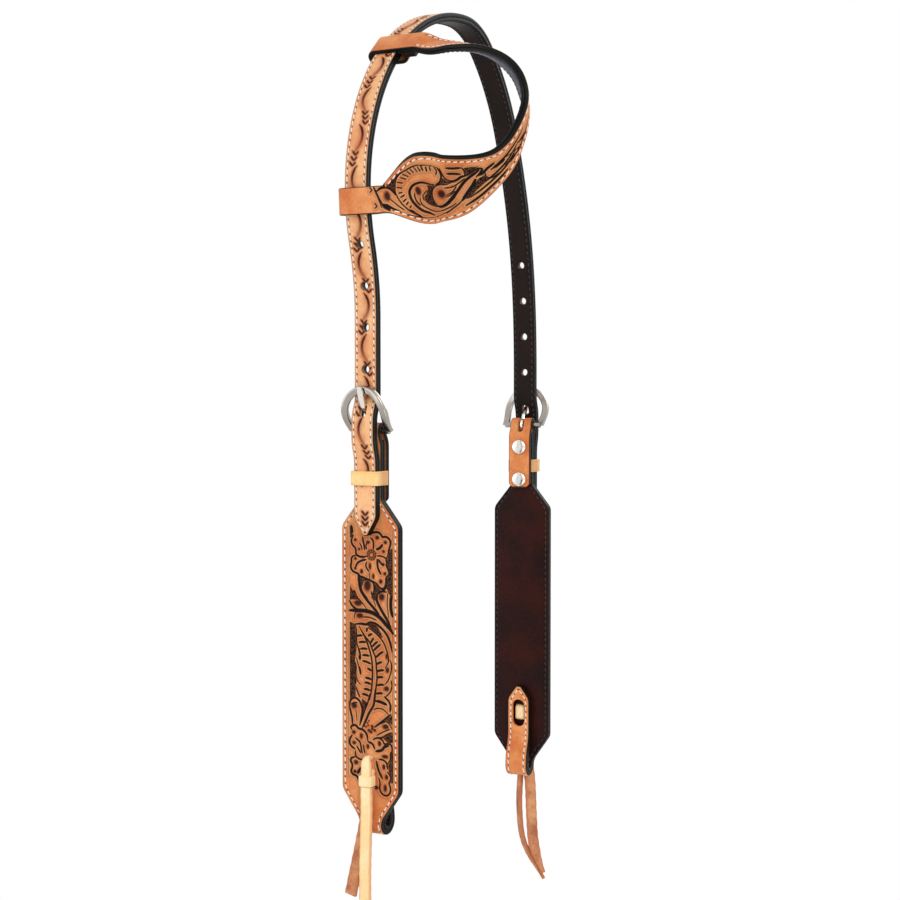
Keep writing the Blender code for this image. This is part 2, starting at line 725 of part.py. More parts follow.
cheek_half = CHEEK_WIDTH / 2
lower_legs = [
    (front_start + NECK_TAPER_DROP, STRAP_HALF, NECK_CORNER),
    (front_start + SHOULDER_DROP, cheek_half, SHOULDER_CORNER),
    (front_start + LOWER_SHOULDER_DROP, cheek_half, SHOULDER_CORNER),
    (front_start + TAB_START_DROP, STRAP_HALF, TAB_CORNER),
    (cheek.length - TAB_POINT, STRAP_HALF, STRAP_HALF),
    (cheek.length, BILLET_TIP_WIDTH / 2, 0.0)]
cheek_outline = rounded([(0.0, STRAP_HALF - BACK_LEG_CORNER, 0.0),
                         (BACK_LEG_CORNER, STRAP_HALF, BACK_LEG_CORNER)] + lower_legs)
lining_start = cheek.find_height(-TONGUE_SLOT_DROP - 2 * FIT_GAP, fold_top,
                                 front_start + FOLD_LEAN_RUN)
lining_outline = rounded([(lining_start, STRAP_HALF, 0.0)] + lower_legs)


def tie_path():
    """The thong's line from inside the collar up, in, down and out to the collar."""
    leaf_u = FOLD_OUTER + FIT_GAP + COLLAR_WALL / 2 + THONG_THICKNESS * 1.5
    back_u = FOLD_OUTER + FIT_GAP + THONG_THICKNESS / 2
    inner_u = LINING_INNER_U - FIT_GAP - THONG_THICKNESS / 2
    knot = COLLAR_TOP_DROP + COLLAR_HEIGHT / 2
    line = Path((leaf_u, -knot), math.pi / 2)
    line.straight(knot - TIE_UPPER_DROP - TIE_ARCH)
    line.arc(TIE_ARCH, math.pi / 2)
    line.straight(leaf_u - TIE_ARCH - inner_u - TIE_BEND)
    line.arc(TIE_BEND, math.pi / 2)
    line.straight(TIE_LOWER_DROP - TIE_UPPER_DROP - 2 * TIE_BEND)
    line.arc(TIE_BEND, math.pi / 2)
    line.straight(back_u - inner_u - 2 * TIE_BEND)
    line.arc(TIE_BEND, -math.pi / 2)
    line.straight(knot - TIE_LOWER_DROP - TIE_BEND)
    return line


def screw_parts(bm_screw, bm_post, bm_cut, height):
    """A two-piece leather screw: slotted head inside, post head sunk outside."""
    head_face = -FOLD_OUTER - FIT_GAP
    post_top = FOLD_OUTER - POST_HEAD_SINK
    post_foot = -FOLD_OUTER + POST_HEAD_SINK
    bore = POST_RADIUS - POST_WALL
    turned(bm_screw, [
        (head_face - SCREW_HEAD_HEIGHT, SCREW_HEAD_RADIUS - METAL_EDGE * 2),
        (head_face - SCREW_HEAD_HEIGHT + METAL_EDGE, SCREW_HEAD_RADIUS),
        (head_face, SCREW_HEAD_RADIUS),
        (head_face, SHANK_RADIUS),
        (FOLD_INNER - FIT_GAP, SHANK_RADIUS)], height)
    turned(bm_post, [
        (FOLD_INNER, bore), (post_foot, bore), (post_foot, POST_RADIUS),
        (post_top - POST_HEAD_HEIGHT, POST_RADIUS),
        (post_top - POST_HEAD_HEIGHT, POST_HEAD_RADIUS),
        (post_top - METAL_EDGE, POST_HEAD_RADIUS),
        (post_top, POST_HEAD_RADIUS - METAL_EDGE)], height)
    sink = post_top - POST_HEAD_HEIGHT - FIT_GAP
    turned(bm_cut, [
        (-FOLD_OUTER - CUT_OVERRUN, POST_RADIUS + FIT_GAP), (sink, POST_RADIUS + FIT_GAP),
        (sink, POST_HEAD_RADIUS + FIT_GAP),
        (FOLD_OUTER + CUT_OVERRUN, POST_HEAD_RADIUS + FIT_GAP)], height)


def add_screw(name, height, parent, drives):
    screw, post, cut = bmesh.new(), bmesh.new(), bmesh.new()
    screw_parts(screw, post, cut, height)
    head = add_object(name + "_screw", screw, "bright_steel", parent)
    combine(head, drives, "DIFFERENCE")
    add_object(name + "_post", post, "bright_steel", parent)
    return cut


def add_drive_cutter(name, parent):
    bm = bmesh.new()
    head_top = -FOLD_OUTER - FIT_GAP - SCREW_HEAD_HEIGHT
    reach = SCREW_HEAD_RADIUS + CUT_OVERRUN
    for drop in (UPPER_SCREW_DROP, LOWER_SCREW_DROP):
        rings = []
        for u in (head_top - CUT_OVERRUN, head_top + SCREW_DRIVE_DEPTH):
            rings.append([Vector((u, y * reach, z * SCREW_DRIVE_WIDTH / 2 - drop))
                          for y, z in ((-1, -1), (1, -1), (1, 1), (-1, 1))])
        loft(bm, rings)
    return add_object(name, bm, None, parent)


def add_buckle(side, parent):
    """Bowed horseshoe frame with its bar, leaned out so that the strap passes behind it."""
    base = BUCKLE_LENGTH - BUCKLE_ROUND
    line = [Vector((BUCKLE_FOOT_HALF_WIDTH, 0.0)),
            Vector(((BUCKLE_FOOT_HALF_WIDTH + BUCKLE_HALF_WIDTH * 2) / 3, base / 2))]
    for k in range(ROUND_SIDES + 1):
        angle = math.pi * k / ROUND_SIDES
        line.append(Vector((BUCKLE_HALF_WIDTH * math.cos(angle),
                            base + BUCKLE_ROUND * math.sin(angle))))
    line += [Vector((-p.x, p.y)) for p in (line[1], line[0])]
    rings = []
    section = strap_like(RAIL_FACE / 2, RAIL_THICKNESS / 2, RAIL_ROUND)
    for k, spot in enumerate(line):
        ahead = line[min(k + 1, len(line) - 1)] - line[max(k - 1, 0)]
        side_way = Vector((ahead.y, -ahead.x)).normalized()
        share = spot.y / BUCKLE_LENGTH
        bow = 4 * BUCKLE_BOW * share * (1 - share)
        rings.append([Vector((bow + n, spot.x + side_way.x * a, spot.y + side_way.y * a))
                      for a, n in section])
    frame = add_object(side + "_buckle_frame", loft(bmesh.new(), rings), "satin_steel",
                       parent)
    frame.rotation_euler = (0.0, BUCKLE_TILT, 0.0)
    bar = bmesh.new()
    rings = []
    for y in (-BUCKLE_FOOT_HALF_WIDTH, BUCKLE_FOOT_HALF_WIDTH):
        rings.append([Vector((BAR_RADIUS * math.cos(a), y, BAR_RADIUS * math.sin(a)))
                      for a in (2 * math.pi * k / ROUND_SIDES for k in range(ROUND_SIDES))])
    loft(bar, rings)
    bar_tool = add_object(side + "_bar_form", bar, None, parent)
    bar_tool.rotation_euler = frame.rotation_euler
    combine(frame, bar_tool, "UNION")
    return frame


def strap_like(half_a, half_b, ease):
    """An eight-sided section for rails."""
    return [(-half_a + ease, -half_b), (half_a - ease, -half_b),
            (half_a, -half_b + ease), (half_a, half_b - ease),
            (half_a - ease, half_b), (-half_a + ease, half_b),
            (-half_a, half_b - ease), (-half_a, -half_b + ease)]


def add_tongue(side, parent):
    """Wire tongue: an eye round the bar and a kinked stem through the strap."""
    corners = [(*tongue_start, 0.0), (*tongue_low, TONGUE_BEND),
               (*tongue_knee, TONGUE_BEND), (*tongue_tip, 0.0)]
    line = rounded(corners)
    rings = []
    for k, spot in enumerate(line):
        ahead = line[min(k + 1, len(line) - 1)] - line[max(k - 1, 0)]
        off = Vector((ahead.y, -ahead.x)).normalized()
        size = tongue_radius * (0.7 if k == len(line) - 1 else 1.0)
        ring = []
        for j in range(WIRE_SIDES):
            angle = 2 * math.pi * j / WIRE_SIDES
            out = off * size * math.cos(angle)
            ring.append(Vector((spot.x + out.x, size * math.sin(angle), spot.y + out.y)))
        rings.append(ring)
    stem = add_object(side + "_buckle_tongue", loft(bmesh.new(), rings), "satin_steel",
                      parent)
    rings = []
    for k in range(ROUND_SIDES):
        angle = 2 * math.pi * k / ROUND_SIDES
        ring = []
        for j in range(WIRE_SIDES):
            turn = 2 * math.pi * j / WIRE_SIDES
            reach = eye_radius + tongue_radius * math.cos(turn)
            ring.append(Vector((reach * math.cos(angle), tongue_radius * math.sin(turn),
                                reach * math.sin(angle))))
        rings.append(ring)
    eye = add_object(side + "_tongue_eye_form", loft(bmesh.new(), rings, True), None, parent)
    combine(stem, eye, "UNION")


def add_keeper(side, parent):
    """Leather loop round the billet and the cheek's neck."""
    low = LINING_INNER_U - FIT_GAP
    high = BILLET_OUTER_U + FIT_GAP
    half_u = (high - low) / 2
    half_w = STRAP_HALF + FIT_GAP
    centre = ((low + high) / 2, 0.0)
    wall = KEEPER_THICKNESS
    inner = rounded_box_outline(half_u, half_w, KEEPER_CORNER / 4, centre)
    outer = rounded_box_outline(half_u + wall, half_w + wall, KEEPER_CORNER, centre)
    top = -KEEPER_DROP + KEEPER_HEIGHT / 2
    foot = top - KEEPER_HEIGHT
    rings = [[Vector((u, w, z)) for u, w in outline]
             for outline, z in ((outer, foot), (outer, top), (inner, top), (inner, foot))]
    add_object(side + "_keeper", loft(bmesh.new(), rings, True), "keeper_leather", parent)


def add_tail(name, route, u, rearwards, parent):
    """A free thong end that hangs from the collar along a route."""
    top = COLLAR_TOP_DROP + COLLAR_HEIGHT + FIT_GAP
    spots = [Vector((u + out, rearwards * rear, -top - drop)) for drop, rear, out in route]
    spots = [spots[0] * 2 - spots[1]] + spots + [spots[-1] * 2 - spots[-2]]
    line = []
    for index in range(1, len(spots) - 2):
        four = spots[index - 1:index + 3]
        line += [smooth_mix(*four, k / 2) for k in range(2)]
    line.append(spots[-2])
    rings = []
    for k, spot in enumerate(line):
        ahead = (line[min(k + 1, len(line) - 1)] - line[max(k - 1, 0)]).normalized()
        if k == 0:
            ahead = Vector((0.0, 0.0, -1.0))
        normal = Vector((1.0, 0.0, 0.0))
        normal = (normal - ahead * normal.dot(ahead)).normalized()
        across = ahead.cross(normal)
        rings.append([spot + across * a + normal * n for a, n in strap_section(
            THONG_WIDTH / 2, -THONG_THICKNESS / 2, THONG_THICKNESS / 2)])
    add_object(name, loft(bmesh.new(), rings), "thong_leather", parent)


def add_tie(side, parent, rearwards, front_route, back_route):
    line = tie_path()
    flat = [Vector((0.0, THONG_WIDTH / 2)), Vector((line.length, THONG_WIDTH / 2))]
    half = THONG_THICKNESS / 2
    tie = add_object(side + "_tie", loft(bmesh.new(), ribbon_rings(
        line, flat, -half, half, 0.0, line.length)), "thong_leather", parent)
    low = FOLD_OUTER + FIT_GAP
    high = line.at(0.0)[0].x + half + COLLAR_WALL
    outline = rounded_box_outline((high - low) / 2, THONG_WIDTH / 2 + COLLAR_WALL,
                                  COLLAR_CORNER, ((low + high) / 2, 0.0))
    foot = -COLLAR_TOP_DROP - COLLAR_HEIGHT
    rings = [[Vector((u, w, z)) for u, w in outline] for z in (foot, foot + COLLAR_HEIGHT)]
    collar = add_object(side + "_collar_form", loft(bmesh.new(), rings), None, parent)
    combine(tie, collar, "UNION")
    add_tail(side + "_tie_tail_front", front_route, line.at(0.0)[0].x, rearwards, parent)
    add_tail(side + "_tie_tail_back", back_route, line.end.x, rearwards, parent)


def add_branch(side, cheek_x, turn, rearwards, front_route, back_route):
    """Everything below the crown on one side, in a frame whose X points outwards."""
    branch = add_empty(side + "_branch", (cheek_x, 0.0, BAR_Z), turn)
    pivot = add_empty(side + "_bar_axis", (FOLD_LEAN, 0.0, 0.0), 0.0)
    pivot.parent = branch
    outer = add_object(side + "_cheek_outer", loft(bmesh.new(), ribbon_rings(
        cheek, cheek_outline, HALF_GAP, HALF_GAP + OUTER_THICKNESS, 0.0, cheek.length)),
        "tooled_leather", branch)
    lining = add_object(side + "_cheek_lining", loft(bmesh.new(), ribbon_rings(
        cheek, lining_outline, -HALF_GAP - LINING_THICKNESS, -HALF_GAP, lining_start,
        cheek.length)), "cheek_lining", branch)
    drives = add_drive_cutter(side + "_screw_drive_cutter", branch)
    cuts = bmesh.new()
    for name, drop in (("_upper", UPPER_SCREW_DROP), ("_lower", LOWER_SCREW_DROP)):
        shape = add_screw(side + name, -drop, branch, drives)
        piece = bpy.data.meshes.new("cut")
        shape.to_mesh(piece)
        shape.free()
        cuts.from_mesh(piece)
        bpy.data.meshes.remove(piece)
    slot_half = (FOLD_OUTER + CUT_OVERRUN + TONGUE_SLOT_DROP) / 2
    slot_prism(cuts, -FOLD_OUTER - CUT_OVERRUN, FOLD_LEAN + FOLD_OUTER + CUT_OVERRUN,
               TONGUE_SLOT_WIDTH / 2, slot_half, TONGUE_SLOT_WIDTH / 2,
               slot_half - TONGUE_SLOT_DROP)
    middle = LINING_INNER_U - FIT_GAP / 2
    for drop in (TIE_UPPER_DROP, TIE_LOWER_DROP):
        slot_prism(cuts, middle, FOLD_OUTER + CUT_OVERRUN, THONG_WIDTH / 2 + FIT_GAP,
                   THONG_THICKNESS / 2 + FIT_GAP, FIT_GAP, -drop)
    tab_back = tab_glue_u - HALF_GAP - OUTER_THICKNESS - CUT_OVERRUN
    slot_prism(cuts, tab_back, middle, WINDOW_WIDTH / 2, WINDOW_HEIGHT / 2,
               WINDOW_WIDTH / 2, -WINDOW_TOP_DROP - WINDOW_HEIGHT / 2)
    cutter = add_object(side + "_cheek_cutter", cuts, None, branch)
    combine(outer, cutter, "DIFFERENCE")
    combine(lining, cutter, "DIFFERENCE")
    add_buckle(side, pivot)
    add_tongue(side, pivot)
    add_keeper(side, branch)
    add_tie(side, branch, rearwards, front_route, back_route)


add_branch("near", NEAR_CHEEK_X, math.pi, -1, NEAR_FRONT_TAIL, NEAR_BACK_TAIL)
add_branch("far", FAR_CHEEK_X, FAR_TOE, 1, FAR_FRONT_TAIL, FAR_BACK_TAIL)
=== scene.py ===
"""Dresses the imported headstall: tooled and stitched leather, steel buckles and thong ties."""

import math

import bmesh
import bpy
import numpy as np
from mathutils import Matrix, Vector


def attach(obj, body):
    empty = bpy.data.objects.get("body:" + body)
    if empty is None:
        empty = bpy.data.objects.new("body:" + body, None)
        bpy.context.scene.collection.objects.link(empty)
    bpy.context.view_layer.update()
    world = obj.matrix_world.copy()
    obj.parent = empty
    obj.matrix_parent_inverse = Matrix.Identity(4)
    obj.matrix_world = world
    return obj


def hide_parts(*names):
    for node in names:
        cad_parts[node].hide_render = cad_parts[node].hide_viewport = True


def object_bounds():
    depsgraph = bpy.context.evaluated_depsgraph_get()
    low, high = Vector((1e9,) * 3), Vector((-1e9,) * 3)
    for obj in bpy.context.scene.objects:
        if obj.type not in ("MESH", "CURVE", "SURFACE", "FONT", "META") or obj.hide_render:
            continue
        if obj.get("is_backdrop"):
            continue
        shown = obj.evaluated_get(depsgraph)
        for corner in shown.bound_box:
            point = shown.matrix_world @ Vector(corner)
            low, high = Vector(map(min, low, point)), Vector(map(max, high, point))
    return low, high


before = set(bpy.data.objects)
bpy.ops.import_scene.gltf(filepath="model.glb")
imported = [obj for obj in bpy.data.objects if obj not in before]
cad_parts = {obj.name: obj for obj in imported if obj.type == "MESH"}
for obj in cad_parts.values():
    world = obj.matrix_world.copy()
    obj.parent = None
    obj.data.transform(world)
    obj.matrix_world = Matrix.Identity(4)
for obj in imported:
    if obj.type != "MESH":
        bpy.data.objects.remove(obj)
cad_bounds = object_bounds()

MM = 0.001

# Camera
CAMERA_PLACE = (-1.0095, -0.5718, -0.2407)
CAMERA_YAW = math.radians(29.77)
CAMERA_PITCH = math.radians(-1.97)
LENS_MM = 69.72
SENSOR_MM = 36.0

camera_data = bpy.data.cameras.new("camera")
camera_data.lens = LENS_MM
camera_data.sensor_width = SENSOR_MM
camera = bpy.data.objects.new("camera", camera_data)
camera.location = CAMERA_PLACE
camera.rotation_euler = (math.pi / 2 + CAMERA_PITCH, 0.0, CAMERA_YAW - math.pi / 2)
bpy.context.scene.collection.objects.link(camera)
bpy.context.scene.camera = camera

# Leather stock
OUTER_THICKNESS = 0.0027
LINING_THICKNESS = 0.0025
LAYER_GAP = 0.0003
FIT_GAP = 0.0003
STRAP_WIDTH = 0.016
FACE_ROUND = 0.0009
GLUE_ROUND = 0.0003

# Crown
CROWN_TO_BAR = 0.271
NEAR_ARCS = [(0.1216, math.radians(105.8)), (0.165, math.radians(-15.8))]
FAR_ARCS = [(0.046, math.radians(41.2)), (0.140, math.radians(27.5)),
            (0.460, math.radians(21.3))]
BILLET_POINT = 0.011
BILLET_TIP_WIDTH = 0.003
BILLET_BELOW_BAR = 0.064
BEND_ABOVE_BAR = 0.005
BEND_RUN = 0.017
BILLET_LEAN_DROP = 0.003
BILLET_LEAN_RUN = 0.018
HOLE_RADIUS = 0.0025
HOLE_PITCH = 0.0254
SPARE_HOLES = 4
ENGAGED_HOLE_FROM_TIP = 0.07707
ENGAGED_HOLE_LENGTH = 0.0078
ENGAGED_HOLE_SLIP = 0.0012
FAR_TOE = math.radians(7)
TOE_START_DROP = 0.060
TOE_END_DROP = 0.235

# Cheek
CHEEK_WIDTH = 0.0413
NECK_TAPER_DROP = 0.0425
SHOULDER_DROP = 0.0585
LOWER_SHOULDER_DROP = 0.222
TAB_START_DROP = 0.240
FOLD_CENTRE_DROP = 0.2417
SHOULDER_CORNER = 0.007
NECK_CORNER = 0.004
TAB_CORNER = 0.012
BACK_LEG_DROP = 0.0443
BACK_LEG_CORNER = 0.0025
FOLD_LEAN = 0.003
FOLD_LEAN_RUN = 0.0100
BIT_VOID_RADIUS = 0.0028
TAB_RISE_RUN = 0.025
TAB_TIP_DROP = 0.186
TAB_POINT = 0.009
TONGUE_SLOT_WIDTH = 0.0045
TONGUE_SLOT_DROP = 0.006
WINDOW_TOP_DROP = 0.1955
WINDOW_HEIGHT = 0.0194
WINDOW_WIDTH = 0.0096

# Buckle, keeper and screws
BAR_RADIUS = 0.002
BUCKLE_TILT = math.radians(21.5)
BUCKLE_LENGTH = 0.027
BUCKLE_ROUND = 0.015
BUCKLE_BOW = 0.0035
BUCKLE_HALF_WIDTH = 0.0140
BUCKLE_FOOT_HALF_WIDTH = 0.0130
RAIL_FACE = 0.0045
RAIL_THICKNESS = 0.003
TONGUE_WIDTH = 0.0038
TONGUE_THICKNESS = 0.0024
TONGUE_LINE = [(0.0, 0.0037), (0.0014, 0.0070), (0.0092, 0.01464), (0.0140, 0.02674)]
KEEPER_THICKNESS = 0.0014
KEEPER_HEIGHT = 0.0088
KEEPER_DROP = 0.0290
UPPER_SCREW_DROP = 0.0155
LOWER_SCREW_DROP = 0.0385
SCREW_HEAD_RADIUS = 0.005
SCREW_HEAD_HEIGHT = 0.0017
SCREW_SLOT_WIDTH = 0.0012
SCREW_SLOT_DEPTH = 0.0008
POST_RADIUS = 0.0024
POST_HEAD_RADIUS = 0.0045

# Tie
THONG_WIDTH = 0.008
THONG_THICKNESS = 0.0022
TIE_UPPER_DROP = 0.2010
TIE_LOWER_DROP = 0.2098
TIE_BEND = 0.0016
TIE_ARCH = 0.0026
COLLAR_TOP_DROP = 0.2115
COLLAR_HEIGHT = 0.007
COLLAR_WALL = 0.0015
# Tie tails: drop below the collar, way to the rear of the branch, way outwards
NEAR_FRONT_TAIL = [(0.000, 0.000, 0.0), (0.016, 0.000, 0.0), (0.033, 0.0005, 0.0),
                   (0.052, 0.001, 0.0), (0.0702, 0.001, 0.0)]
NEAR_BACK_TAIL = [(0.000, 0.000, 0.0), (0.016, 0.0015, 0.0), (0.033, 0.005, 0.0),
                  (0.052, 0.0095, 0.0), (0.0690, 0.0135, 0.0)]
FAR_FRONT_TAIL = [(0.000, 0.000, 0.0), (0.016, 0.002, 0.0), (0.036, 0.0042, 0.0),
                  (0.060, 0.0048, 0.0), (0.084, 0.0010, 0.0), (0.108, -0.0140, 0.0)]
FAR_BACK_TAIL = [(0.000, 0.000, 0.0), (0.018, -0.002, 0.0), (0.040, -0.0045, 0.0),
                 (0.064, -0.0056, 0.0), (0.084, -0.0075, 0.0), (0.103, -0.0144, 0.0)]

# Ear piece
EAR_OUTER_THICKNESS = 0.0024
EAR_LINING_THICKNESS = 0.0018
EAR_LOOP_WIDTH = 0.0165
EAR_WIDEST = 0.048
EAR_REACH = 0.1065
EAR_LOWER_TURN = math.radians(183.8)
EAR_UPPER_TURN = math.radians(133.3)
LOOP_CLEARANCE = 0.0006
LOOP_EDGE_CLEARANCE = 0.0004
LOOP_STRAIGHT = 0.021
LOOP_TAIL = 0.0045
LOOP_BEND_RUN = 0.007
LINING_SETBACK = 0.0009
# Ear piece line from the lower loop to the upper one. Shares of the reach, of the height
# and of the side way between the loops, the facing in degrees, share of the widest.
EAR_LINE_SHARES = [
    (0.409, 0.062, 0.248, 50, 1.00),
    (0.577, 0.082, 0.360, 48, 0.85),
    (0.803, 0.172, 0.400, 34, 0.49),
    (0.930, 0.296, 0.381, 6, 0.35),
    (1.000, 0.481, 0.381, -20, 0.34),
    (0.980, 0.622, 0.400, -34, 0.34),
    (0.883, 0.752, 0.510, -28, 0.34),
    (0.703, 0.866, 0.680, -6, 0.34),
    (0.503, 0.925, 0.840, 14, 0.34),
    (0.325, 0.955, 0.960, 32, 0.34),
]

# Stitching
STITCH_PITCH = 0.0043
STITCH_SHARE = 0.74
THREAD_RADIUS = 0.00042
STITCH_INSET = 0.0023
STITCH_SLANT = math.radians(8)

# Sizes that follow from the ones above
STACK = OUTER_THICKNESS + LAYER_GAP + LINING_THICKNESS
HALF_GAP = LAYER_GAP / 2
STRAP_HALF = STRAP_WIDTH / 2
FOLD_INNER = (LINING_THICKNESS + KEEPER_THICKNESS + 3 * FIT_GAP) / 2
FOLD_OUTER = FOLD_INNER + OUTER_THICKNESS
GLUE_U = FOLD_INNER - HALF_GAP
LINING_INNER_U = FOLD_INNER - LAYER_GAP - LINING_THICKNESS
BILLET_INNER_U = FOLD_OUTER + FIT_GAP
BILLET_OUTER_U = BILLET_INNER_U + STACK
BILLET_GLUE_U = BILLET_INNER_U + LINING_THICKNESS + HALF_GAP
STRAP_SHIFT = 0.0040247
STRAP_GLUE_U = BILLET_GLUE_U - STRAP_SHIFT
CROWN_GLUE_Z = LINING_THICKNESS + HALF_GAP
BAR_Z = STACK - CROWN_TO_BAR
BIT_CENTRE_U = LINING_INNER_U - BIT_VOID_RADIUS
TAB_OUTER_FACE_U = LINING_INNER_U - FIT_GAP
TAB_GLUE_U = TAB_OUTER_FACE_U - LINING_THICKNESS - HALF_GAP


class Line:
    """A flat line of straights and bends, walked by its length; left turns are positive."""

    def __init__(self, x, y, heading):
        self.x, self.y, self.heading = [x], [y], [heading]
        self.s = [0.0]
        self.bends = []

    def run(self, length, turn=0.0):
        bend = turn / length
        self.bends.append(bend)
        heading = self.heading[-1]
        if bend == 0.0:
            way = (math.cos(heading) * length, math.sin(heading) * length)
        else:
            way = ((math.sin(heading + turn) - math.sin(heading)) / bend,
                   (math.cos(heading) - math.cos(heading + turn)) / bend)
        self.x.append(self.x[-1] + way[0])
        self.y.append(self.y[-1] + way[1])
        self.heading.append(heading + turn)
        self.s.append(self.s[-1] + length)

    def arc(self, radius, turn):
        self.run(radius * abs(turn), turn)

    def shift(self, run, offset):
        """An S-bend that moves the line to the left by the offset."""
        turn = 2 * math.atan(offset / run)
        radius = run / (2 * math.sin(abs(turn)))
        self.arc(radius, turn)
        self.arc(radius, -turn)

    def walk(self, s):
        """Points and headings at many lengths at once."""
        leg = np.clip(np.searchsorted(self.s, s, side="right") - 1, 0, len(self.bends) - 1)
        bend = np.array(self.bends)[leg]
        heading = np.array(self.heading)[leg]
        past = s - np.array(self.s)[leg]
        turned = heading + bend * past
        curved = np.where(bend == 0.0, 1.0, bend)
        dx = np.where(bend == 0.0, np.cos(heading) * past,
                      (np.sin(turned) - np.sin(heading)) / curved)
        dy = np.where(bend == 0.0, np.sin(heading) * past,
                      (np.cos(heading) - np.cos(turned)) / curved)
        return np.array(self.x)[leg] + dx, np.array(self.y)[leg] + dy, turned

    @property
    def length(self):
        return self.s[-1]


def unit(vectors):
    return vectors / np.linalg.norm(vectors, axis=-1, keepdims=True)


class Course:
    """A strap's way through space: stations with their length, across and face way."""

    STATION_STEP = 0.00025

    def __init__(self, s, spots, across, normals, after=None):
        self.s, self.spots, self.across, self.normals = s, spots, across, normals
        self.after = after or (lambda points: points)
        self.length = s[-1]

    @classmethod
    def from_line(cls, line, after):
        s = np.linspace(0.0, line.length, int(line.length / cls.STATION_STEP))
        x, z, heading = line.walk(s)
        level = np.zeros_like(s)
        return cls(s, np.stack([x, level, z], 1), np.stack([level, level + 1, level], 1),
                   np.stack([-np.sin(heading), level, np.cos(heading)], 1), after)

    @classmethod
    def from_stations(cls, spots, across, normals):
        spots = np.array(spots)
        steps = np.linalg.norm(np.diff(spots, axis=0), axis=1)
        return cls(np.concatenate([[0.0], np.cumsum(steps)]), spots,
                   np.array(across), np.array(normals))

    def _at(self, values, s):
        return np.stack([np.interp(s, self.s, values[:, k]) for k in range(3)], axis=1)

    def place(self, flat):
        """Folds flat points (along, across, off the glue line) into their place."""
        s = flat[:, 0]
        spots = (self._at(self.spots, s) + unit(self._at(self.across, s)) * flat[:, 1:2]
                 + unit(self._at(self.normals, s)) * flat[:, 2:3])
        return self.after(spots)


def smooth_mix(a, b, c, d, t):
    """A value on the smooth curve through b and c."""
    return (b * 2 + (c - a) * t + (a * 2 - b * 5 + c * 4 - d) * t * t
            + (b * 3 - a - c * 3 + d) * t * t * t) * 0.5


def smooth_step(low, high, value):
    share = np.clip((value - low) / (high - low), 0.0, 1.0)
    return share * share * (3 - 2 * share)


def drawn_round(corners, steps=8):
    """Points of an outline (along, half-width, corner radius) with its corners rounded."""
    points = [Vector(corners[0][:2])]
    for before, corner, after in zip(corners, corners[1:], corners[2:]):
        here = Vector(corner[:2])
        back = Vector(before[:2]) - here
        ahead = Vector(after[:2]) - here
        half = back.angle(ahead) / 2
        if corner[2] == 0.0 or math.pi / 2 - half < 0.02:
            points.append(here)
            continue
        reach = min(corner[2] / math.tan(half), back.length / 2, ahead.length / 2)
        radius = reach * math.tan(half)
        middle = (back.normalized() + ahead.normalized()).normalized()
        centre = here + middle * radius / math.sin(half)
        first = here + back.normalized() * reach - centre
        last = here + ahead.normalized() * reach - centre
        points += [centre + first.slerp(last, k / steps).normalized() * radius
                   for k in range(steps + 1)]
    points.append(Vector(corners[-1][:2]))
    return np.array([tuple(p) for p in points])


def walked(arcs):
    """How far a line goes out and down when it starts level and turns down."""
    line = Line(0.0, 0.0, 0.0)
    for radius, turn in arcs:
        line.arc(radius, -turn)
    return line.x[-1], -line.y[-1]


# Courses of the crown and the cheeks
near_out, near_down = walked(NEAR_ARCS)
far_out, far_down = walked(FAR_ARCS)
NEAR_CHEEK_X = STRAP_GLUE_U + FOLD_LEAN - near_out
FAR_CHEEK_X = far_out - STRAP_GLUE_U - FOLD_LEAN
drop_to_bend = CROWN_GLUE_Z - BAR_Z - BEND_ABOVE_BAR - BEND_RUN
billet_end = BILLET_BELOW_BAR - BILLET_LEAN_DROP - BILLET_LEAN_RUN

crown_line = Line(NEAR_CHEEK_X - BILLET_GLUE_U, BAR_Z - BILLET_BELOW_BAR, math.pi / 2)
crown_line.run(billet_end)
crown_line.shift(BILLET_LEAN_RUN, FOLD_LEAN)
crown_line.run(BILLET_LEAN_DROP + BEND_ABOVE_BAR)
crown_line.shift(BEND_RUN, -STRAP_SHIFT)
crown_line.run(drop_to_bend - near_down)
for radius, turn in reversed(NEAR_ARCS):
    crown_line.arc(radius, -turn)
for radius, turn in FAR_ARCS:
    crown_line.arc(radius, -turn)
crown_line.run(drop_to_bend - far_down)
crown_line.shift(BEND_RUN, STRAP_SHIFT)
crown_line.run(BILLET_LEAN_DROP + BEND_ABOVE_BAR)
crown_line.shift(BILLET_LEAN_RUN, -FOLD_LEAN)
crown_line.run(billet_end)


def toed(points):
    """Turns the far branch of the crown about the upright through its cheek."""
    x, y, z = points.T
    share = smooth_step(0.0, 1.0, (STACK - TOE_START_DROP - z)
                        / (TOE_END_DROP - TOE_START_DROP))
    angle = np.where(x < 0.0, 0.0, FAR_TOE * share)
    arm = x - FAR_CHEEK_X
    return np.stack([FAR_CHEEK_X + arm * np.cos(angle) - y * np.sin(angle),
                     arm * np.sin(angle) + y * np.cos(angle), z], 1)


def branch_place(side):
    """The move from a branch's own frame (out, across, up from the bar) to the world."""
    cheek_x, turn = (NEAR_CHEEK_X, math.pi) if side == "near" else (FAR_CHEEK_X, FAR_TOE)

    def place(points):
        u, w, z = points.T
        return np.stack([cheek_x + u * math.cos(turn) - w * math.sin(turn),
                         u * math.sin(turn) + w * math.cos(turn), BAR_Z + z], 1)
    return place


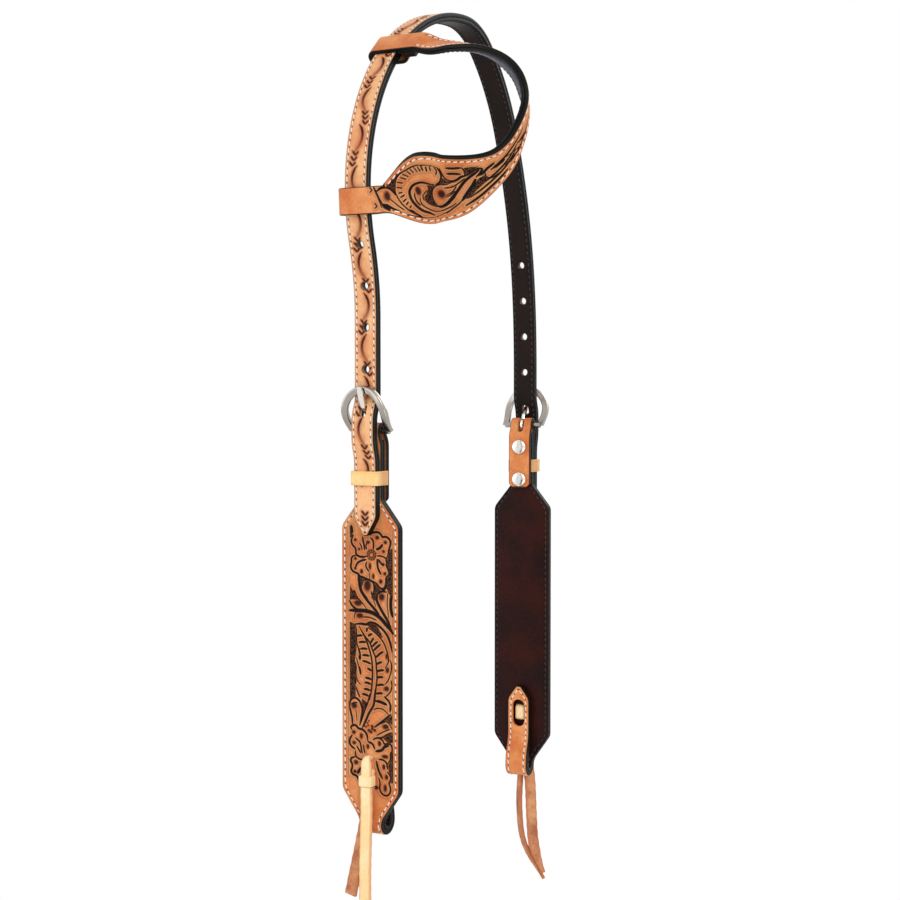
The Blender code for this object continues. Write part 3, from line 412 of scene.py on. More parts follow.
cheek_line = Line(-GLUE_U, -BACK_LEG_DROP, math.pi / 2)
cheek_line.run(BACK_LEG_DROP - FOLD_LEAN_RUN)
cheek_line.shift(FOLD_LEAN_RUN, -FOLD_LEAN)
cheek_line.arc(GLUE_U, -math.pi)
cheek_line.shift(FOLD_LEAN_RUN, -FOLD_LEAN)
front_start = cheek_line.length - FOLD_LEAN_RUN
cheek_line.run(FOLD_CENTRE_DROP - FOLD_LEAN_RUN)
cheek_line.arc(GLUE_U - BIT_CENTRE_U, -math.pi)
cheek_line.shift(TAB_RISE_RUN, cheek_line.x[-1] - TAB_GLUE_U)
cheek_line.run(-TAB_TIP_DROP - cheek_line.y[-1])

crown_course = Course.from_line(crown_line, toed)
cheek_courses = {side: Course.from_line(cheek_line, branch_place(side))
                 for side in ("near", "far")}

billet_outline = drawn_round([
    (0.0, BILLET_TIP_WIDTH / 2, 0.0),
    (BILLET_POINT, STRAP_HALF, STRAP_HALF),
    (crown_line.length - BILLET_POINT, STRAP_HALF, STRAP_HALF),
    (crown_line.length, BILLET_TIP_WIDTH / 2, 0.0)])
cheek_half = CHEEK_WIDTH / 2
lower_legs = [
    (front_start + NECK_TAPER_DROP, STRAP_HALF, NECK_CORNER),
    (front_start + SHOULDER_DROP, cheek_half, SHOULDER_CORNER),
    (front_start + LOWER_SHOULDER_DROP, cheek_half, SHOULDER_CORNER),
    (front_start + TAB_START_DROP, STRAP_HALF, TAB_CORNER),
    (cheek_line.length - TAB_POINT, STRAP_HALF, STRAP_HALF),
    (cheek_line.length, BILLET_TIP_WIDTH / 2, 0.0)]
cheek_outline = drawn_round([(0.0, STRAP_HALF - BACK_LEG_CORNER, 0.0),
                             (BACK_LEG_CORNER, STRAP_HALF, BACK_LEG_CORNER)] + lower_legs)
lining_start = front_start + TONGUE_SLOT_DROP + 2 * FIT_GAP
lining_outline = drawn_round([(lining_start, STRAP_HALF, 0.0)] + lower_legs)


def tail_stations(side, route, u):
    """Stations of a thong end that hangs from the collar along a route."""
    rearwards = -1 if side == "near" else 1
    top = COLLAR_TOP_DROP + COLLAR_HEIGHT + FIT_GAP
    spots = [Vector((u + out, rearwards * rear, -top - drop)) for drop, rear, out in route]
    spots = [spots[0] * 2 - spots[1]] + spots + [spots[-1] * 2 - spots[-2]]
    line = []
    for index in range(1, len(spots) - 2):
        line += [smooth_mix(*spots[index - 1:index + 3], k / TAIL_STEPS)
                 for k in range(TAIL_STEPS)]
    line.append(spots[-2])
    return line


TAIL_STEPS = 4


# Strips of leather


def add_object(name, mesh, body, surface, slot, *nodes):
    """Places a finished mesh as a piece that rides on a body and stands for its nodes."""
    made = bpy.data.objects.new(name, mesh)
    bpy.context.scene.collection.objects.link(made)
    mesh.materials.clear()
    mesh.materials.append(surface)
    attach(made, body)
    if nodes:
        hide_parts(*nodes)
    return made


def section(low, high, columns, under_columns, face_round, glue_round, worked_high=True):
    """A strip's closed section as (share of the flat half-width, way beyond, height)."""
    turn = np.linspace(0.0, math.pi / 2, 5)
    small = np.linspace(0.0, math.pi / 2, 3)
    face, glue = (high, low) if worked_high else (low, high)
    inwards = -1.0 if worked_high else 1.0
    top = [(share, 0.0, face) for share in np.linspace(-1.0, 1.0, columns + 1)]
    side = [(1.0, face_round * math.sin(a), face + inwards * face_round * (1 - math.cos(a)))
            for a in turn[1:]]
    side += [(1.0, face_round - glue_round * (1 - math.cos(a)),
              glue - inwards * glue_round * (1 - math.sin(a))) for a in small]
    wide = face_round - glue_round
    under = [(share, wide * share, glue)
             for share in np.linspace(1.0, -1.0, under_columns + 1)[1:-1]]
    other = [(-share, -beyond, height) for share, beyond, height in reversed(side)]
    return np.array(top + side + under + other)


def strip_mesh(name, rows, half_widths, profile, face_round, place=None):
    """A closed strip on the flat: rows along it, a section across it."""
    count = len(profile)
    bm = bmesh.new()
    bmesh.ops.create_grid(bm, x_segments=len(rows) - 1, y_segments=count, size=0.5)
    mesh = bpy.data.meshes.new(name)
    bm.to_mesh(mesh)
    spots = np.empty(len(mesh.vertices) * 3)
    mesh.vertices.foreach_get("co", spots)
    spots = spots.reshape(-1, 3)
    row = np.rint((spots[:, 0] + 0.5) * (len(rows) - 1)).astype(int)
    column = np.rint((spots[:, 1] + 0.5) * count).astype(int) % count
    share, beyond, height = profile[column].T
    half = half_widths[row]
    squeeze = np.minimum(1.0, half / (2 * face_round))
    flat_half = half - face_round * squeeze
    flat = np.stack([rows[row], share * flat_half + beyond * squeeze, height], 1)
    if place is not None:
        flat = place(flat, row)
    mesh.vertices.foreach_set("co", flat.ravel())
    bm.clear()
    bm.from_mesh(mesh)
    seam = [v for v, c in zip(bm.verts, np.rint((spots[:, 1] + 0.5) * count)) if c in (0, count)]
    bmesh.ops.remove_doubles(bm, verts=seam, dist=1e-7)
    rim = [e for e in bm.edges if e.is_boundary]
    bmesh.ops.holes_fill(bm, edges=rim, sides=0)
    bmesh.ops.recalc_face_normals(bm, faces=bm.faces)
    bm.to_mesh(mesh)
    bm.free()
    return mesh


def rows_between(spans):
    """Lengths along a strip from (start, end, step) spans, sorted without near doubles."""
    found = [np.arange(start, end, step) for start, end, step in spans]
    found.append([spans[0][0], spans[-1][1]])
    rows = np.unique(np.round(np.concatenate(found), 6))
    return rows[np.concatenate([[True], np.diff(rows) > 0.0001])]


def coordinates(mesh):
    values = np.empty(len(mesh.vertices) * 3)
    mesh.vertices.foreach_get("co", values)
    return values.reshape(-1, 3)


def punch(bm, s, w, radius, stretch_s=0.0, stretch_w=0.0, low=-0.006, high=0.006, sides=28):
    """A round or long punch that stands through a flat strip."""
    made = bmesh.ops.create_circle(bm, cap_ends=True, segments=sides, radius=radius)["verts"]
    for v in made:
        v.co.x += s + math.copysign(stretch_s, v.co.x)
        v.co.y += w + math.copysign(stretch_w, v.co.y)
        v.co.z = low
    face = made[0].link_faces[0]
    raised = bmesh.ops.extrude_face_region(bm, geom=[face])["geom"]
    for v in raised:
        if isinstance(v, bmesh.types.BMVert):
            v.co.z = high


def cut_through(mesh, tool_bm):
    """Cuts a flat strip with punches and returns the new mesh."""
    bmesh.ops.recalc_face_normals(tool_bm, faces=tool_bm.faces)
    tool_mesh = bpy.data.meshes.new("punches")
    tool_bm.to_mesh(tool_mesh)
    tool_bm.free()
    tool = bpy.data.objects.new("punches", tool_mesh)
    work = bpy.data.objects.new("work", mesh)
    for made in (tool, work):
        bpy.context.scene.collection.objects.link(made)
    step = work.modifiers.new("punch", "BOOLEAN")
    step.operation = "DIFFERENCE"
    step.solver = "MANIFOLD"
    step.object = tool
    ready = work.evaluated_get(bpy.context.evaluated_depsgraph_get())
    cut = bpy.data.meshes.new_from_object(ready)
    cut.name = mesh.name
    bpy.data.objects.remove(work)
    bpy.data.objects.remove(tool)
    bpy.data.meshes.remove(tool_mesh)
    bpy.data.meshes.remove(mesh)
    return cut


def add_masks(mesh, **masks):
    for name, values in masks.items():
        layer = mesh.attributes.new(name, "FLOAT", "POINT")
        layer.data.foreach_set("value", np.clip(values, 0.0, 1.0).astype(np.float32))


def finish_strip(mesh, course, flat, **masks):
    """Folds a worked flat strip into place and keeps its masks of dye and painted highlight."""
    mesh.vertices.foreach_set("co", course.place(flat).ravel())
    add_masks(mesh, **masks)
    mesh.update()
    mesh.shade_smooth()
    mesh.set_sharp_from_angle(angle=math.radians(62))


def edge_mask(flat, outline, face_round):
    """1 on a strip's inked edge, fading over the rounded corner."""
    half = np.interp(flat[:, 0], outline[:, 0], outline[:, 1])
    inside = np.minimum(half - np.abs(flat[:, 1]),
                        np.minimum(flat[:, 0] - outline[0, 0], outline[-1, 0] - flat[:, 0]))
    return 1.0 - smooth_step(face_round * 0.35, face_round * 0.9, inside)


# Tool work on a face, in millimetres


def along(line):
    """A smooth fine line through given points."""
    points = np.array(line, dtype=float)
    if len(points) < 3:
        return points
    padded = np.vstack([2 * points[0] - points[1], points, 2 * points[-1] - points[-2]])
    fine = [smooth_mix(*padded[k:k + 4], t) for k in range(len(points) - 1)
            for t in (0.0, 0.25, 0.5, 0.75)]
    return np.array(fine + [points[-1]])


def distance(spots, line):
    """How far spots are from a line, and the share of the line that is nearest."""
    near = np.full(len(spots), 1e9)
    share = np.zeros(len(spots))
    steps = np.linalg.norm(np.diff(line, axis=0), axis=1)
    done = 0.0
    for a, b, step in zip(line, line[1:], steps):
        way = (b - a) / max(step, 1e-9)
        past = spots - a
        t = np.clip(past @ way, 0.0, step)
        off = np.hypot(past[:, 0] - way[0] * t, past[:, 1] - way[1] * t)
        closer = off < near
        near[closer] = off[closer]
        share[closer] = (done + t[closer]) / steps.sum()
        done += step
    return near, share


def inside(spots, outline):
    """Whether spots lie in a closed outline."""
    x, y = spots.T
    within = np.zeros(len(spots), dtype=bool)
    for (ax, ay), (bx, by) in zip(outline, np.roll(outline, -1, axis=0)):
        if ay == by:
            continue
        crosses = ((ay > y) != (by > y)) & (x < (bx - ax) * (y - ay) / (by - ay) + ax)
        within ^= crosses
    return within


class Tooling:
    """Depth, dye and painted highlight of a worked face, gathered stroke by stroke, in millimetres."""

    REACH = 3.0

    def __init__(self, across, along_face):
        self.spots = np.stack([across, along_face], 1) / MM
        count = len(self.spots)
        self.height = np.zeros(count)
        self.dark = np.zeros(count)
        self.ground = np.zeros(count)
        self.near = np.full(count, 1e9)
        self.soft = np.zeros(count)

    def _close(self, points, reach):
        low, high = points.min(axis=0) - reach, points.max(axis=0) + reach
        return np.nonzero(((self.spots >= low) & (self.spots <= high)).all(axis=1))[0]

    def cut(self, width, line, depth=0.42, dark=1.0, taper=0.35, fade=0.0):
        """A knife cut bevelled on both sides, narrower at its ends; its dye may thin out."""
        line = along(line)
        close = self._close(line, self.REACH)
        if len(close) == 0:
            return
        off, share = distance(self.spots[close], line)
        ends = np.minimum(share, 1 - share)
        half = width / 2 * (1 - taper + taper * smooth_step(0.0, 0.16, ends))
        groove = 1 - smooth_step(half * 0.4, half * 1.4, off)
        self.height[close] = np.minimum(self.height[close], -depth * groove)
        dyed = dark * (1 - fade * (1 - smooth_step(0.1, 0.75, share)))
        self.dark[close] = np.maximum(self.dark[close],
                                      dyed * (1 - smooth_step(half * 0.7, half * 1.3, off)))
        self.near[close] = np.minimum(self.near[close], np.maximum(off - half, 0.0))

    def matt(self, outline, depth=0.40):
        """Ground beaten down and dyed between the motifs."""
        outline = np.array(outline, dtype=float)
        close = self._close(outline, 0.6)
        if len(close) == 0:
            return
        spots = self.spots[close]
        off, _ = distance(spots, np.vstack([outline, outline[:1]]))
        signed = np.where(inside(spots, outline), off, -off)
        low = smooth_step(-0.25, 0.25, signed)
        self.height[close] = np.minimum(self.height[close], -depth * low)
        self.ground[close] = np.maximum(self.ground[close], low)
        self.near[close] = np.minimum(self.near[close], np.maximum(-signed, 0.0))

    def shade(self, line, centre, reach):
        """Brown shading with fine rays on the hollow side of an arc."""
        line = along(line)
        close = self._close(line, reach)
        spots = self.spots[close]
        off, share = distance(spots, line)
        middle = line.mean(axis=0)
        hollow = (spots - middle) @ (np.array(centre) - middle) > 0
        nearer = np.hypot(*(spots - centre).T) < np.hypot(*(line[0] - centre))
        rays = 0.8 + 0.2 * np.cos(share * 110)
        fade = smooth_step(0.0, 0.15, share) * smooth_step(0.0, 0.15, 1 - share)
        tone = np.exp(-(off / (0.62 * reach)) ** 2) * rays * fade * (hollow | nearer)
        self.soft[close] = np.maximum(self.soft[close], tone)

    def seed(self, x, y, rx, ry, depth=0.45):
        """A hollow struck with a round tool."""
        centre = np.array([[x, y]], dtype=float)
        rx, ry = max(rx, 0.5), max(ry, 0.5)
        close = self._close(centre, 3.2 * max(rx, ry))
        off = (self.spots[close] - centre) / (rx, ry)
        far = np.hypot(off[:, 0], off[:, 1])
        hollow = 1 - smooth_step(0.45, 1.25, far)
        self.height[close] = np.minimum(self.height[close], -depth * hollow)
        self.dark[close] = np.maximum(self.dark[close], 0.95 * (1 - smooth_step(0.6, 1.25, far)))
        self.soft[close] = np.maximum(self.soft[close], 0.9 * np.exp(-((far - 0.9) / 0.6) ** 2))

    def ring(self, x, y, radius):
        """A flower's centre: a beaded ring round a bright dot, the dot a painted highlight."""
        centre = np.array([[x, y]], dtype=float)
        close = self._close(centre, radius + 1.0)
        off = self.spots[close] - centre
        far = np.hypot(off[:, 0], off[:, 1])
        band = smooth_step(0.30, 0.42, far / radius) * (1 - smooth_step(0.92, 1.05, far / radius))
        beads = 0.5 + 0.5 * np.cos(np.arctan2(off[:, 1], off[:, 0]) * 10)
        middle = np.exp(-((far / radius - 0.68) / 0.16) ** 2)
        bead = beads * middle
        self.height[close] = np.minimum(self.height[close], -0.35 * band * (1 - 0.8 * bead))
        self.dark[close] = np.maximum(self.dark[close] * (far > radius), band * (1 - 0.75 * bead))
        self.near[close] = np.where(far < radius, np.abs(far - 0.1) + 0.2, self.near[close])

    def keep_within(self, share):
        """Fades all tool work out where the share falls to 0."""
        for values in (self.height, self.dark, self.ground, self.soft):
            values *= share
        self.near += self.REACH * (1 - share)

    def rim_highlights(self):
        """Painted highlight on the raised edge beside every cut."""
        shown = (1 - self.ground) * (1 - self.dark) * (1 - 0.8 * self.soft)
        return 0.55 * np.exp(-((self.near - 0.34) / 0.22) ** 2) * shown

    def pillow(self):
        """Raises the edge beside cuts and lets the middle of each shape sink a little."""
        raised = 0.10 * np.exp(-((self.near - 0.5) / 0.55) ** 2)
        self.height += raised * (1 - self.ground) * (1 - self.dark)


# Carving read from the photo

PHOTO_SIDE = 900
FORWARD = np.array([math.cos(CAMERA_YAW) * math.cos(CAMERA_PITCH),
                    math.sin(CAMERA_YAW) * math.cos(CAMERA_PITCH), math.sin(CAMERA_PITCH)])
RIGHT = np.cross(FORWARD, (0, 0, 1)) / math.cos(CAMERA_PITCH)
UPWARD = np.cross(RIGHT, FORWARD)
FOCAL_PIXELS = PHOTO_SIDE * LENS_MM / SENSOR_MM


def pixel_ray(x, y):
    """The camera's ray through a pixel of the photo."""
    return (FORWARD + RIGHT * (x - PHOTO_SIDE / 2) / FOCAL_PIXELS
            - UPWARD * (y - PHOTO_SIDE / 2) / FOCAL_PIXELS)


class Drawing:
    """Strokes read in enlarged crops of the photo, laid on a face in millimetres."""

    def __init__(self, on_face, cut_share, seed_shares):
        self.on_face, self.cut_share, self.seed_shares = on_face, cut_share, seed_shares
        self.cuts, self.ground, self.seeds = [], [], []

    def read(self, crop, cuts, ground=(), seeds=()):
        """Adds the strokes of one crop (left, top, enlargement)."""
        left, top, large = crop

        def laid(points):
            return [self.on_face(left + x / large, top + y / large) for x, y in points]
        self.cuts += [(round(width / large * self.cut_share, 1), laid(points))
                      for width, points in cuts]
        self.ground += [laid(points) for points in ground]
        for x, y, rx, ry in seeds:
            self.seeds.append((*laid([(x, y)])[0], round(rx / large * self.seed_shares[0], 1),
                               round(ry / large * self.seed_shares[1], 1)))

    def carve(self, work):
        for outline in self.ground:
            work.matt(outline)
        for width, line in self.cuts:
            work.cut(width, line)
        for seed in self.seeds:
            work.seed(*seed)


def face_share(flat, face, round_over):
    """1 on the worked face, 0 off it."""
    return 1.0 - smooth_step(0.0, round_over, np.abs(flat[:, 2] - face))


# Stitching


def inset_line(outline, inset, low, high, side):
    """A stitch line inside a strip's outline, as (along, across) points."""
    s = np.linspace(low, high, 1600)
    half = np.interp(s, outline[:, 0], outline[:, 1])
    slope = np.gradient(half, s)
    drop = inset / np.sqrt(1 + slope ** 2)
    return np.stack([s + drop * slope, side * (half - drop)], 1)


def spaced(line, pitch):
    """Points about a pitch apart along a line."""
    steps = np.linalg.norm(np.diff(line, axis=0), axis=1)
    run = np.concatenate([[0.0], np.cumsum(steps)])
    count = max(1, round(run[-1] / pitch))
    at = np.linspace(0.0, run[-1], count + 1)
    return np.stack([np.interp(at, run, line[:, k]) for k in range(2)], 1)


def stitch_mesh(name, lines, height, pitch=STITCH_PITCH, up=1.0, radius=THREAD_RADIUS):
    """Thread lying along flat stitch lines, as one mesh of short rounded runs."""
    bm = bmesh.new()
    bmesh.ops.create_uvsphere(bm, u_segments=8, v_segments=5, radius=1.0)
    bmesh.ops.rotate(bm, verts=bm.verts, cent=(0, 0, 0),
                     matrix=Matrix.Rotation(math.pi / 2, 3, "Y"))
    template = bpy.data.meshes.new("run")
    bm.to_mesh(template)
    bm.free()
    shape = coordinates(template)
    shape[:, 0] = np.sign(shape[:, 0]) * np.abs(shape[:, 0]) ** 0.8
    bm = bmesh.new()
    placed = []
    for line in lines:
        knots = spaced(line, pitch)
        for a, b in zip(knots, knots[1:]):
            way = b - a
            length = np.hypot(*way)
            turn = math.atan2(way[1], way[0]) + STITCH_SLANT * up
            long = length * STITCH_SHARE / 2
            x = shape[:, 0] * long
            y = shape[:, 1] * radius
            z = shape[:, 2] * radius * 0.8 + height
            z = z - up * 0.5 * radius * (shape[:, 0] ** 4)
            mid = (a + b) / 2
            placed.append(np.stack([mid[0] + x * math.cos(turn) - y * math.sin(turn),
                                    mid[1] + x * math.sin(turn) + y * math.cos(turn), z], 1))
            bm.from_mesh(template)
    mesh = bpy.data.meshes.new(name)
    bm.to_mesh(mesh)
    bm.free()
    bpy.data.meshes.remove(template)
    mesh.shade_smooth()
    return mesh, np.concatenate(placed)


def needle_marks(flat, lines, pitch=STITCH_PITCH):
    """Depth and darkness of the needle holes and the groove along stitch lines."""
    hole = np.zeros(len(flat))
    groove = np.zeros(len(flat))
    for line in lines:
        low, high = line.min(axis=0) - 0.002, line.max(axis=0) + 0.002
        close = np.nonzero(((flat[:, :2] >= low) & (flat[:, :2] <= high)).all(axis=1))[0]
        if len(close) == 0:
            continue
        knots = spaced(line, pitch)
        spots = flat[close, :2]
        for knot in knots:
            box = np.nonzero(np.abs(spots[:, 0] - knot[0]) < 0.003)[0]
            off = np.hypot(*(spots[box] - knot).T)
            hole[close[box]] = np.maximum(hole[close[box]],
                                          1 - smooth_step(0.00025, 0.0008, off))
        thin = line[::8] if len(line) > 64 else line
        off, _ = distance(spots, thin)
        groove[close] = np.maximum(groove[close], 1 - smooth_step(0.0004, 0.0011, off))
    return hole, groove


# Surfaces


def paint(red, green, blue):
    """A colour as it looks on screen, turned to the renderer's linear scale."""
    return tuple(((c + 0.055) / 1.055) ** 2.4 if c > 0.04045 else c / 12.92
                 for c in (red, green, blue)) + (1.0,)


class Wiring:
    """Short way to add and join shader nodes."""

    def __init__(self, tree):
        self.tree = tree

    def add(self, kind, settings=None, **sockets):
        node = self.tree.nodes.new("ShaderNode" + kind)
        for key, value in (settings or {}).items():
            setattr(node, key, value)
        for key, value in sockets.items():
            self.feed(node.inputs[key.replace("_", " ")], value)
        return node

    def feed(self, socket, value):
        if isinstance(value, bpy.types.NodeSocket):
            self.tree.links.new(value, socket)
        else:
            socket.default_value = value

    def maths(self, operation, a, b=0.5):
        node = self.add("Math", {"operation": operation})
        self.feed(node.inputs[0], a)
        self.feed(node.inputs[1], b)
        return node.outputs[0]

    def blend(self, share, a, b):
        node = self.add("Mix", {"data_type": "RGBA"})
        self.feed(node.inputs[0], share)
        self.feed(node.inputs[6], a)
        self.feed(node.inputs[7], b)
        return node.outputs[2]

    def mask(self, name):
        return self.add("Attribute", {"attribute_name": name}).outputs["Fac"]

    def noise(self, where, scale, detail=3.0, roughness=0.55):
        return self.add("TexNoise", Vector=where, Scale=scale, Detail=detail,
                        Roughness=roughness).outputs["Fac"]


def group(name, inputs, outputs):
    """A shader node group with named sockets; gives its wiring, entry and exit."""
    tree = bpy.data.node_groups.new(name, "ShaderNodeTree")
    for label, kind, value in inputs:
        socket = tree.interface.new_socket(label, in_out="INPUT", socket_type="NodeSocket" + kind)
        socket.default_value = value
    for label, kind in outputs:
        tree.interface.new_socket(label, in_out="OUTPUT", socket_type="NodeSocket" + kind)
    wiring = Wiring(tree)
    return wiring, tree.nodes.new("NodeGroupInput").outputs, tree.nodes.new("NodeGroupOutput").inputs


def make_hide_tone():
    """Uneven colour of a hide: broad clouds and small flecks between two colours."""
    w, given, out = group("hide_tone", [("Light", "Color", (1, 1, 1, 1)),
                                        ("Deep", "Color", (0, 0, 0, 1)),
                                        ("Cloud", "Float", 30.0)], [("Color", "Color")])
    where = w.add("TexCoord").outputs["Object"]
    broad = w.noise(where, given["Cloud"], 4.0)
    fleck = w.noise(where, w.maths("MULTIPLY", given["Cloud"], 14.0), 3.0, 0.7)
    both = w.maths("ADD", w.maths("MULTIPLY", broad, 0.68), w.maths("MULTIPLY", fleck, 0.32))
    share = w.add("MapRange", {"interpolation_type": "SMOOTHSTEP"}, Value=both,
                  From_Min=0.36, From_Max=0.64).outputs[0]
    w.feed(out["Color"], w.blend(share, given["Light"], given["Deep"]))


def make_hide_grain():
    """Pores and fine creases of a hide as a height, about a millimetre apart."""
    w, given, out = group("hide_grain", [("Scale", "Float", 900.0)], [("Height", "Float")])
    where = w.add("TexCoord").outputs["Object"]
    pores = w.add("TexVoronoi", {"feature": "SMOOTH_F1"}, Vector=where, Scale=given["Scale"],
                  Smoothness=0.6).outputs["Distance"]
    creases = w.noise(where, w.maths("MULTIPLY", given["Scale"], 0.35), 5.0, 0.65)
    w.feed(out["Height"], w.maths("ADD", w.maths("MULTIPLY", pores, 0.55),
                                  w.maths("MULTIPLY", creases, 0.45)))


def make_antique():
    """Dark finish that settles in cuts and beaten ground, with painted highlights on the rims beside
    the cuts.
    """
    w, given, out = group("antique", [("Color", "Color", (1, 1, 1, 1)),
                                      ("Finish", "Color", (0, 0, 0, 1)),
                                      ("Stain", "Color", (0, 0, 0, 1)),
                                      ("Burnish", "Color", (1, 1, 1, 1)),
                                      ("Ink", "Color", (0, 0, 0, 1)),
                                      ("Ground Grain", "Float", 1100.0)],
                          [("Color", "Color"), ("Wet", "Float"), ("Shine", "Float"),
                           ("Height", "Float")])
    where = w.add("TexCoord").outputs["Object"]
    dots = w.add("TexVoronoi", {"feature": "F1"}, Vector=where,
                 Scale=given["Ground Grain"]).outputs["Distance"]
    ground = w.mask("ground")
    edge = w.mask("edge")
    speck = w.add("MapRange", Value=dots, From_Min=0.15, From_Max=0.6, To_Min=0.70,
                  To_Max=1.0).outputs[0]
    dark = w.maths("MAXIMUM", w.mask("dark"), w.maths("MULTIPLY", ground, speck))
    # The stain mask is real stain on most pieces and painted shade on the keepers.
    stain_shaded = w.blend(w.mask("stain"), given["Color"],
                      w.blend(0.78, given["Color"], given["Stain"]))
    # The rim mask paints a highlight beside the cuts.
    highlighted = w.blend(w.mask("rim"), stain_shaded, given["Burnish"])
    finished = w.blend(dark, highlighted, given["Finish"])
    w.feed(out["Color"], w.blend(edge, finished, given["Ink"]))
    w.feed(out["Wet"], dark)
    w.feed(out["Shine"], w.maths("SUBTRACT", 1.0, w.maths("MAXIMUM", edge, dark)))
    w.feed(out["Height"], w.maths("MULTIPLY", w.maths("MULTIPLY", ground, dots), -1.0))


def make_brushing():
    """Fine brushing and small scuffs of worked steel."""
    w, given, out = group("brushing", [("Rough", "Float", 0.3), ("Spread", "Float", 0.15)],
                          [("Roughness", "Float"), ("Height", "Float"), ("Dull", "Float")])
    where = w.add("TexCoord").outputs["Object"]
    stretched = w.add("Mapping", Vector=where, Scale=(1.0, 1.0, 0.12)).outputs[0]
    lines = w.noise(stretched, 2600.0, 3.0, 0.6)
    clouds = w.noise(where, 160.0, 4.0, 0.6)
    w.feed(out["Roughness"], w.maths("ADD", given["Rough"], w.maths(
        "MULTIPLY", w.maths("SUBTRACT", w.maths("ADD", lines, clouds), 1.0), given["Spread"])))
    w.feed(out["Height"], lines)
    w.feed(out["Dull"], clouds)


make_hide_tone()
make_hide_grain()
make_antique()
make_brushing()


def placed_group(w, name, **sockets):
    node = w.tree.nodes.new("ShaderNodeGroup")
    node.node_tree = bpy.data.node_groups[name]
    for key, value in sockets.items():
        w.feed(node.inputs[key.replace("_", " ")], value)
    return node


def new_surface(name):
    surface = bpy.data.materials.new(name)
    surface.use_nodes = True
    return surface, Wiring(surface.node_tree), surface.node_tree.nodes["Principled BSDF"]


def leather(name, light, deep, finish=(0.10, 0.03, 0.02), highlight=None, ink=(0.05, 0.07, 0.07),
            stain=None,
            roughness=0.50, coat=0.10, grain=900.0, grain_depth=0.25, cloud=30.0,
            specular=0.12):
    """Dyed leather with its tone, grain, antique finish, painted highlights and inked edges."""
    surface, w, shader = new_surface(name)
    tone = placed_group(w, "hide_tone", Light=paint(*light), Deep=paint(*deep), Cloud=cloud)
    finished = placed_group(w, "antique", Color=tone.outputs[0], Finish=paint(*finish),
                            Stain=paint(*(stain or finish)),
                            Burnish=paint(*(highlight or light)), Ink=paint(*ink))
    pores = placed_group(w, "hide_grain", Scale=grain)
    height = w.maths("ADD", pores.outputs[0], w.maths("MULTIPLY", finished.outputs["Height"], 2.2))
    bump = w.add("Bump", Height=height, Strength=grain_depth, Distance=0.0004)
    w.feed(shader.inputs["Base Color"], finished.outputs["Color"])
    where = w.add("TexCoord").outputs["Object"]
    gloss = w.maths("MULTIPLY", w.noise(where, 240.0), 0.16)
    worn = w.maths("MULTIPLY", finished.outputs["Wet"], 0.12)
    w.feed(shader.inputs["Roughness"], w.maths("ADD", w.maths("ADD", gloss, roughness - 0.08), worn))
    w.feed(shader.inputs["Coat Weight"], w.maths("MULTIPLY", finished.outputs["Shine"], coat))
    shader.inputs["Coat Roughness"].default_value = 0.32
    shader.inputs["Specular IOR Level"].default_value = specular
    w.feed(shader.inputs["Normal"], bump.outputs[0])
    return surface


def steel(name, colour, roughness, spread=0.14):
    surface, w, shader = new_surface(name)
    brushed = placed_group(w, "brushing", Rough=roughness, Spread=spread)
    dull = w.blend(w.maths("MULTIPLY", brushed.outputs["Dull"], 0.35), paint(*colour),
                   paint(*(c * 0.72 for c in colour)))
    w.feed(shader.inputs["Base Color"], dull)
    w.feed(shader.inputs["Roughness"], brushed.outputs["Roughness"])
    shader.inputs["Metallic"].default_value = 1.0
    bump = w.add("Bump", Height=brushed.outputs["Height"], Strength=0.12, Distance=0.0001)
    w.feed(shader.inputs["Normal"], bump.outputs[0])
    return surface


def thread(name, colour, shade):
    """Waxed thread with a fine twist."""
    surface, w, shader = new_surface(name)
    where = w.add("TexCoord").outputs["Object"]
    twist = w.add("TexWave", {"wave_type": "BANDS", "bands_direction": "DIAGONAL"},
                  Vector=where, Scale=420.0, Distortion=1.5, Detail=2.0).outputs["Fac"]
    fuzz = w.noise(where, 1800.0, 2.0)
    both = w.maths("MULTIPLY", w.maths("ADD", twist, fuzz), 0.5)
    w.feed(shader.inputs["Base Color"], w.blend(both, paint(*colour), paint(*shade)))
    w.feed(shader.inputs["Roughness"], w.maths("ADD", w.maths("MULTIPLY", fuzz, 0.2), 0.5))
    bump = w.add("Bump", Height=twist, Strength=0.35, Distance=0.0002)
    w.feed(shader.inputs["Normal"], bump.outputs[0])
    return surface


# The rim colours given below are painted highlights beside the cuts.
CROWN_TAN = leather("crown_tan", (0.95, 0.74, 0.54), (0.89, 0.61, 0.41),
                    finish=(0.18, 0.03, 0.02), stain=(0.62, 0.24, 0.11),
                    highlight=(0.99, 0.87, 0.70), ink=(0.015, 0.03, 0.025), grain_depth=0.18)
TOOLED_TAN = leather("tooled_tan", (0.90, 0.60, 0.38), (0.80, 0.44, 0.23),
                     finish=(0.05, 0.01, 0.01), stain=(0.42, 0.12, 0.05), ink=(0.015, 0.03, 0.025),
                     highlight=(0.98, 0.76, 0.52), grain_depth=0.22, cloud=60.0)
CROWN_DARK = leather("crown_dark", (0.11, 0.055, 0.03), (0.05, 0.02, 0.015),
                     finish=(0.01, 0.01, 0.01), ink=(0.02, 0.04, 0.03), roughness=0.5, coat=0.03)
CHEEK_DARK = leather("cheek_dark", (0.19, 0.045, 0.02), (0.09, 0.015, 0.01),
                     finish=(0.02, 0.01, 0.01), ink=(0.02, 0.04, 0.03), roughness=0.42, coat=0.03)
EAR_DARK = leather("ear_dark", (0.12, 0.14, 0.21), (0.06, 0.07, 0.12),
                   finish=(0.02, 0.02, 0.03), ink=(0.02, 0.02, 0.03), roughness=0.45, coat=0.05)
# The keeper's finish colour darkens its crease lines and is also the painted shade on its sides and
# back.
KEEPER_TAN = leather("keeper_tan", (0.99, 0.86, 0.62), (0.96, 0.77, 0.48),
                     finish=(0.70, 0.30, 0.08), ink=(0.93, 0.68, 0.36), roughness=0.45)
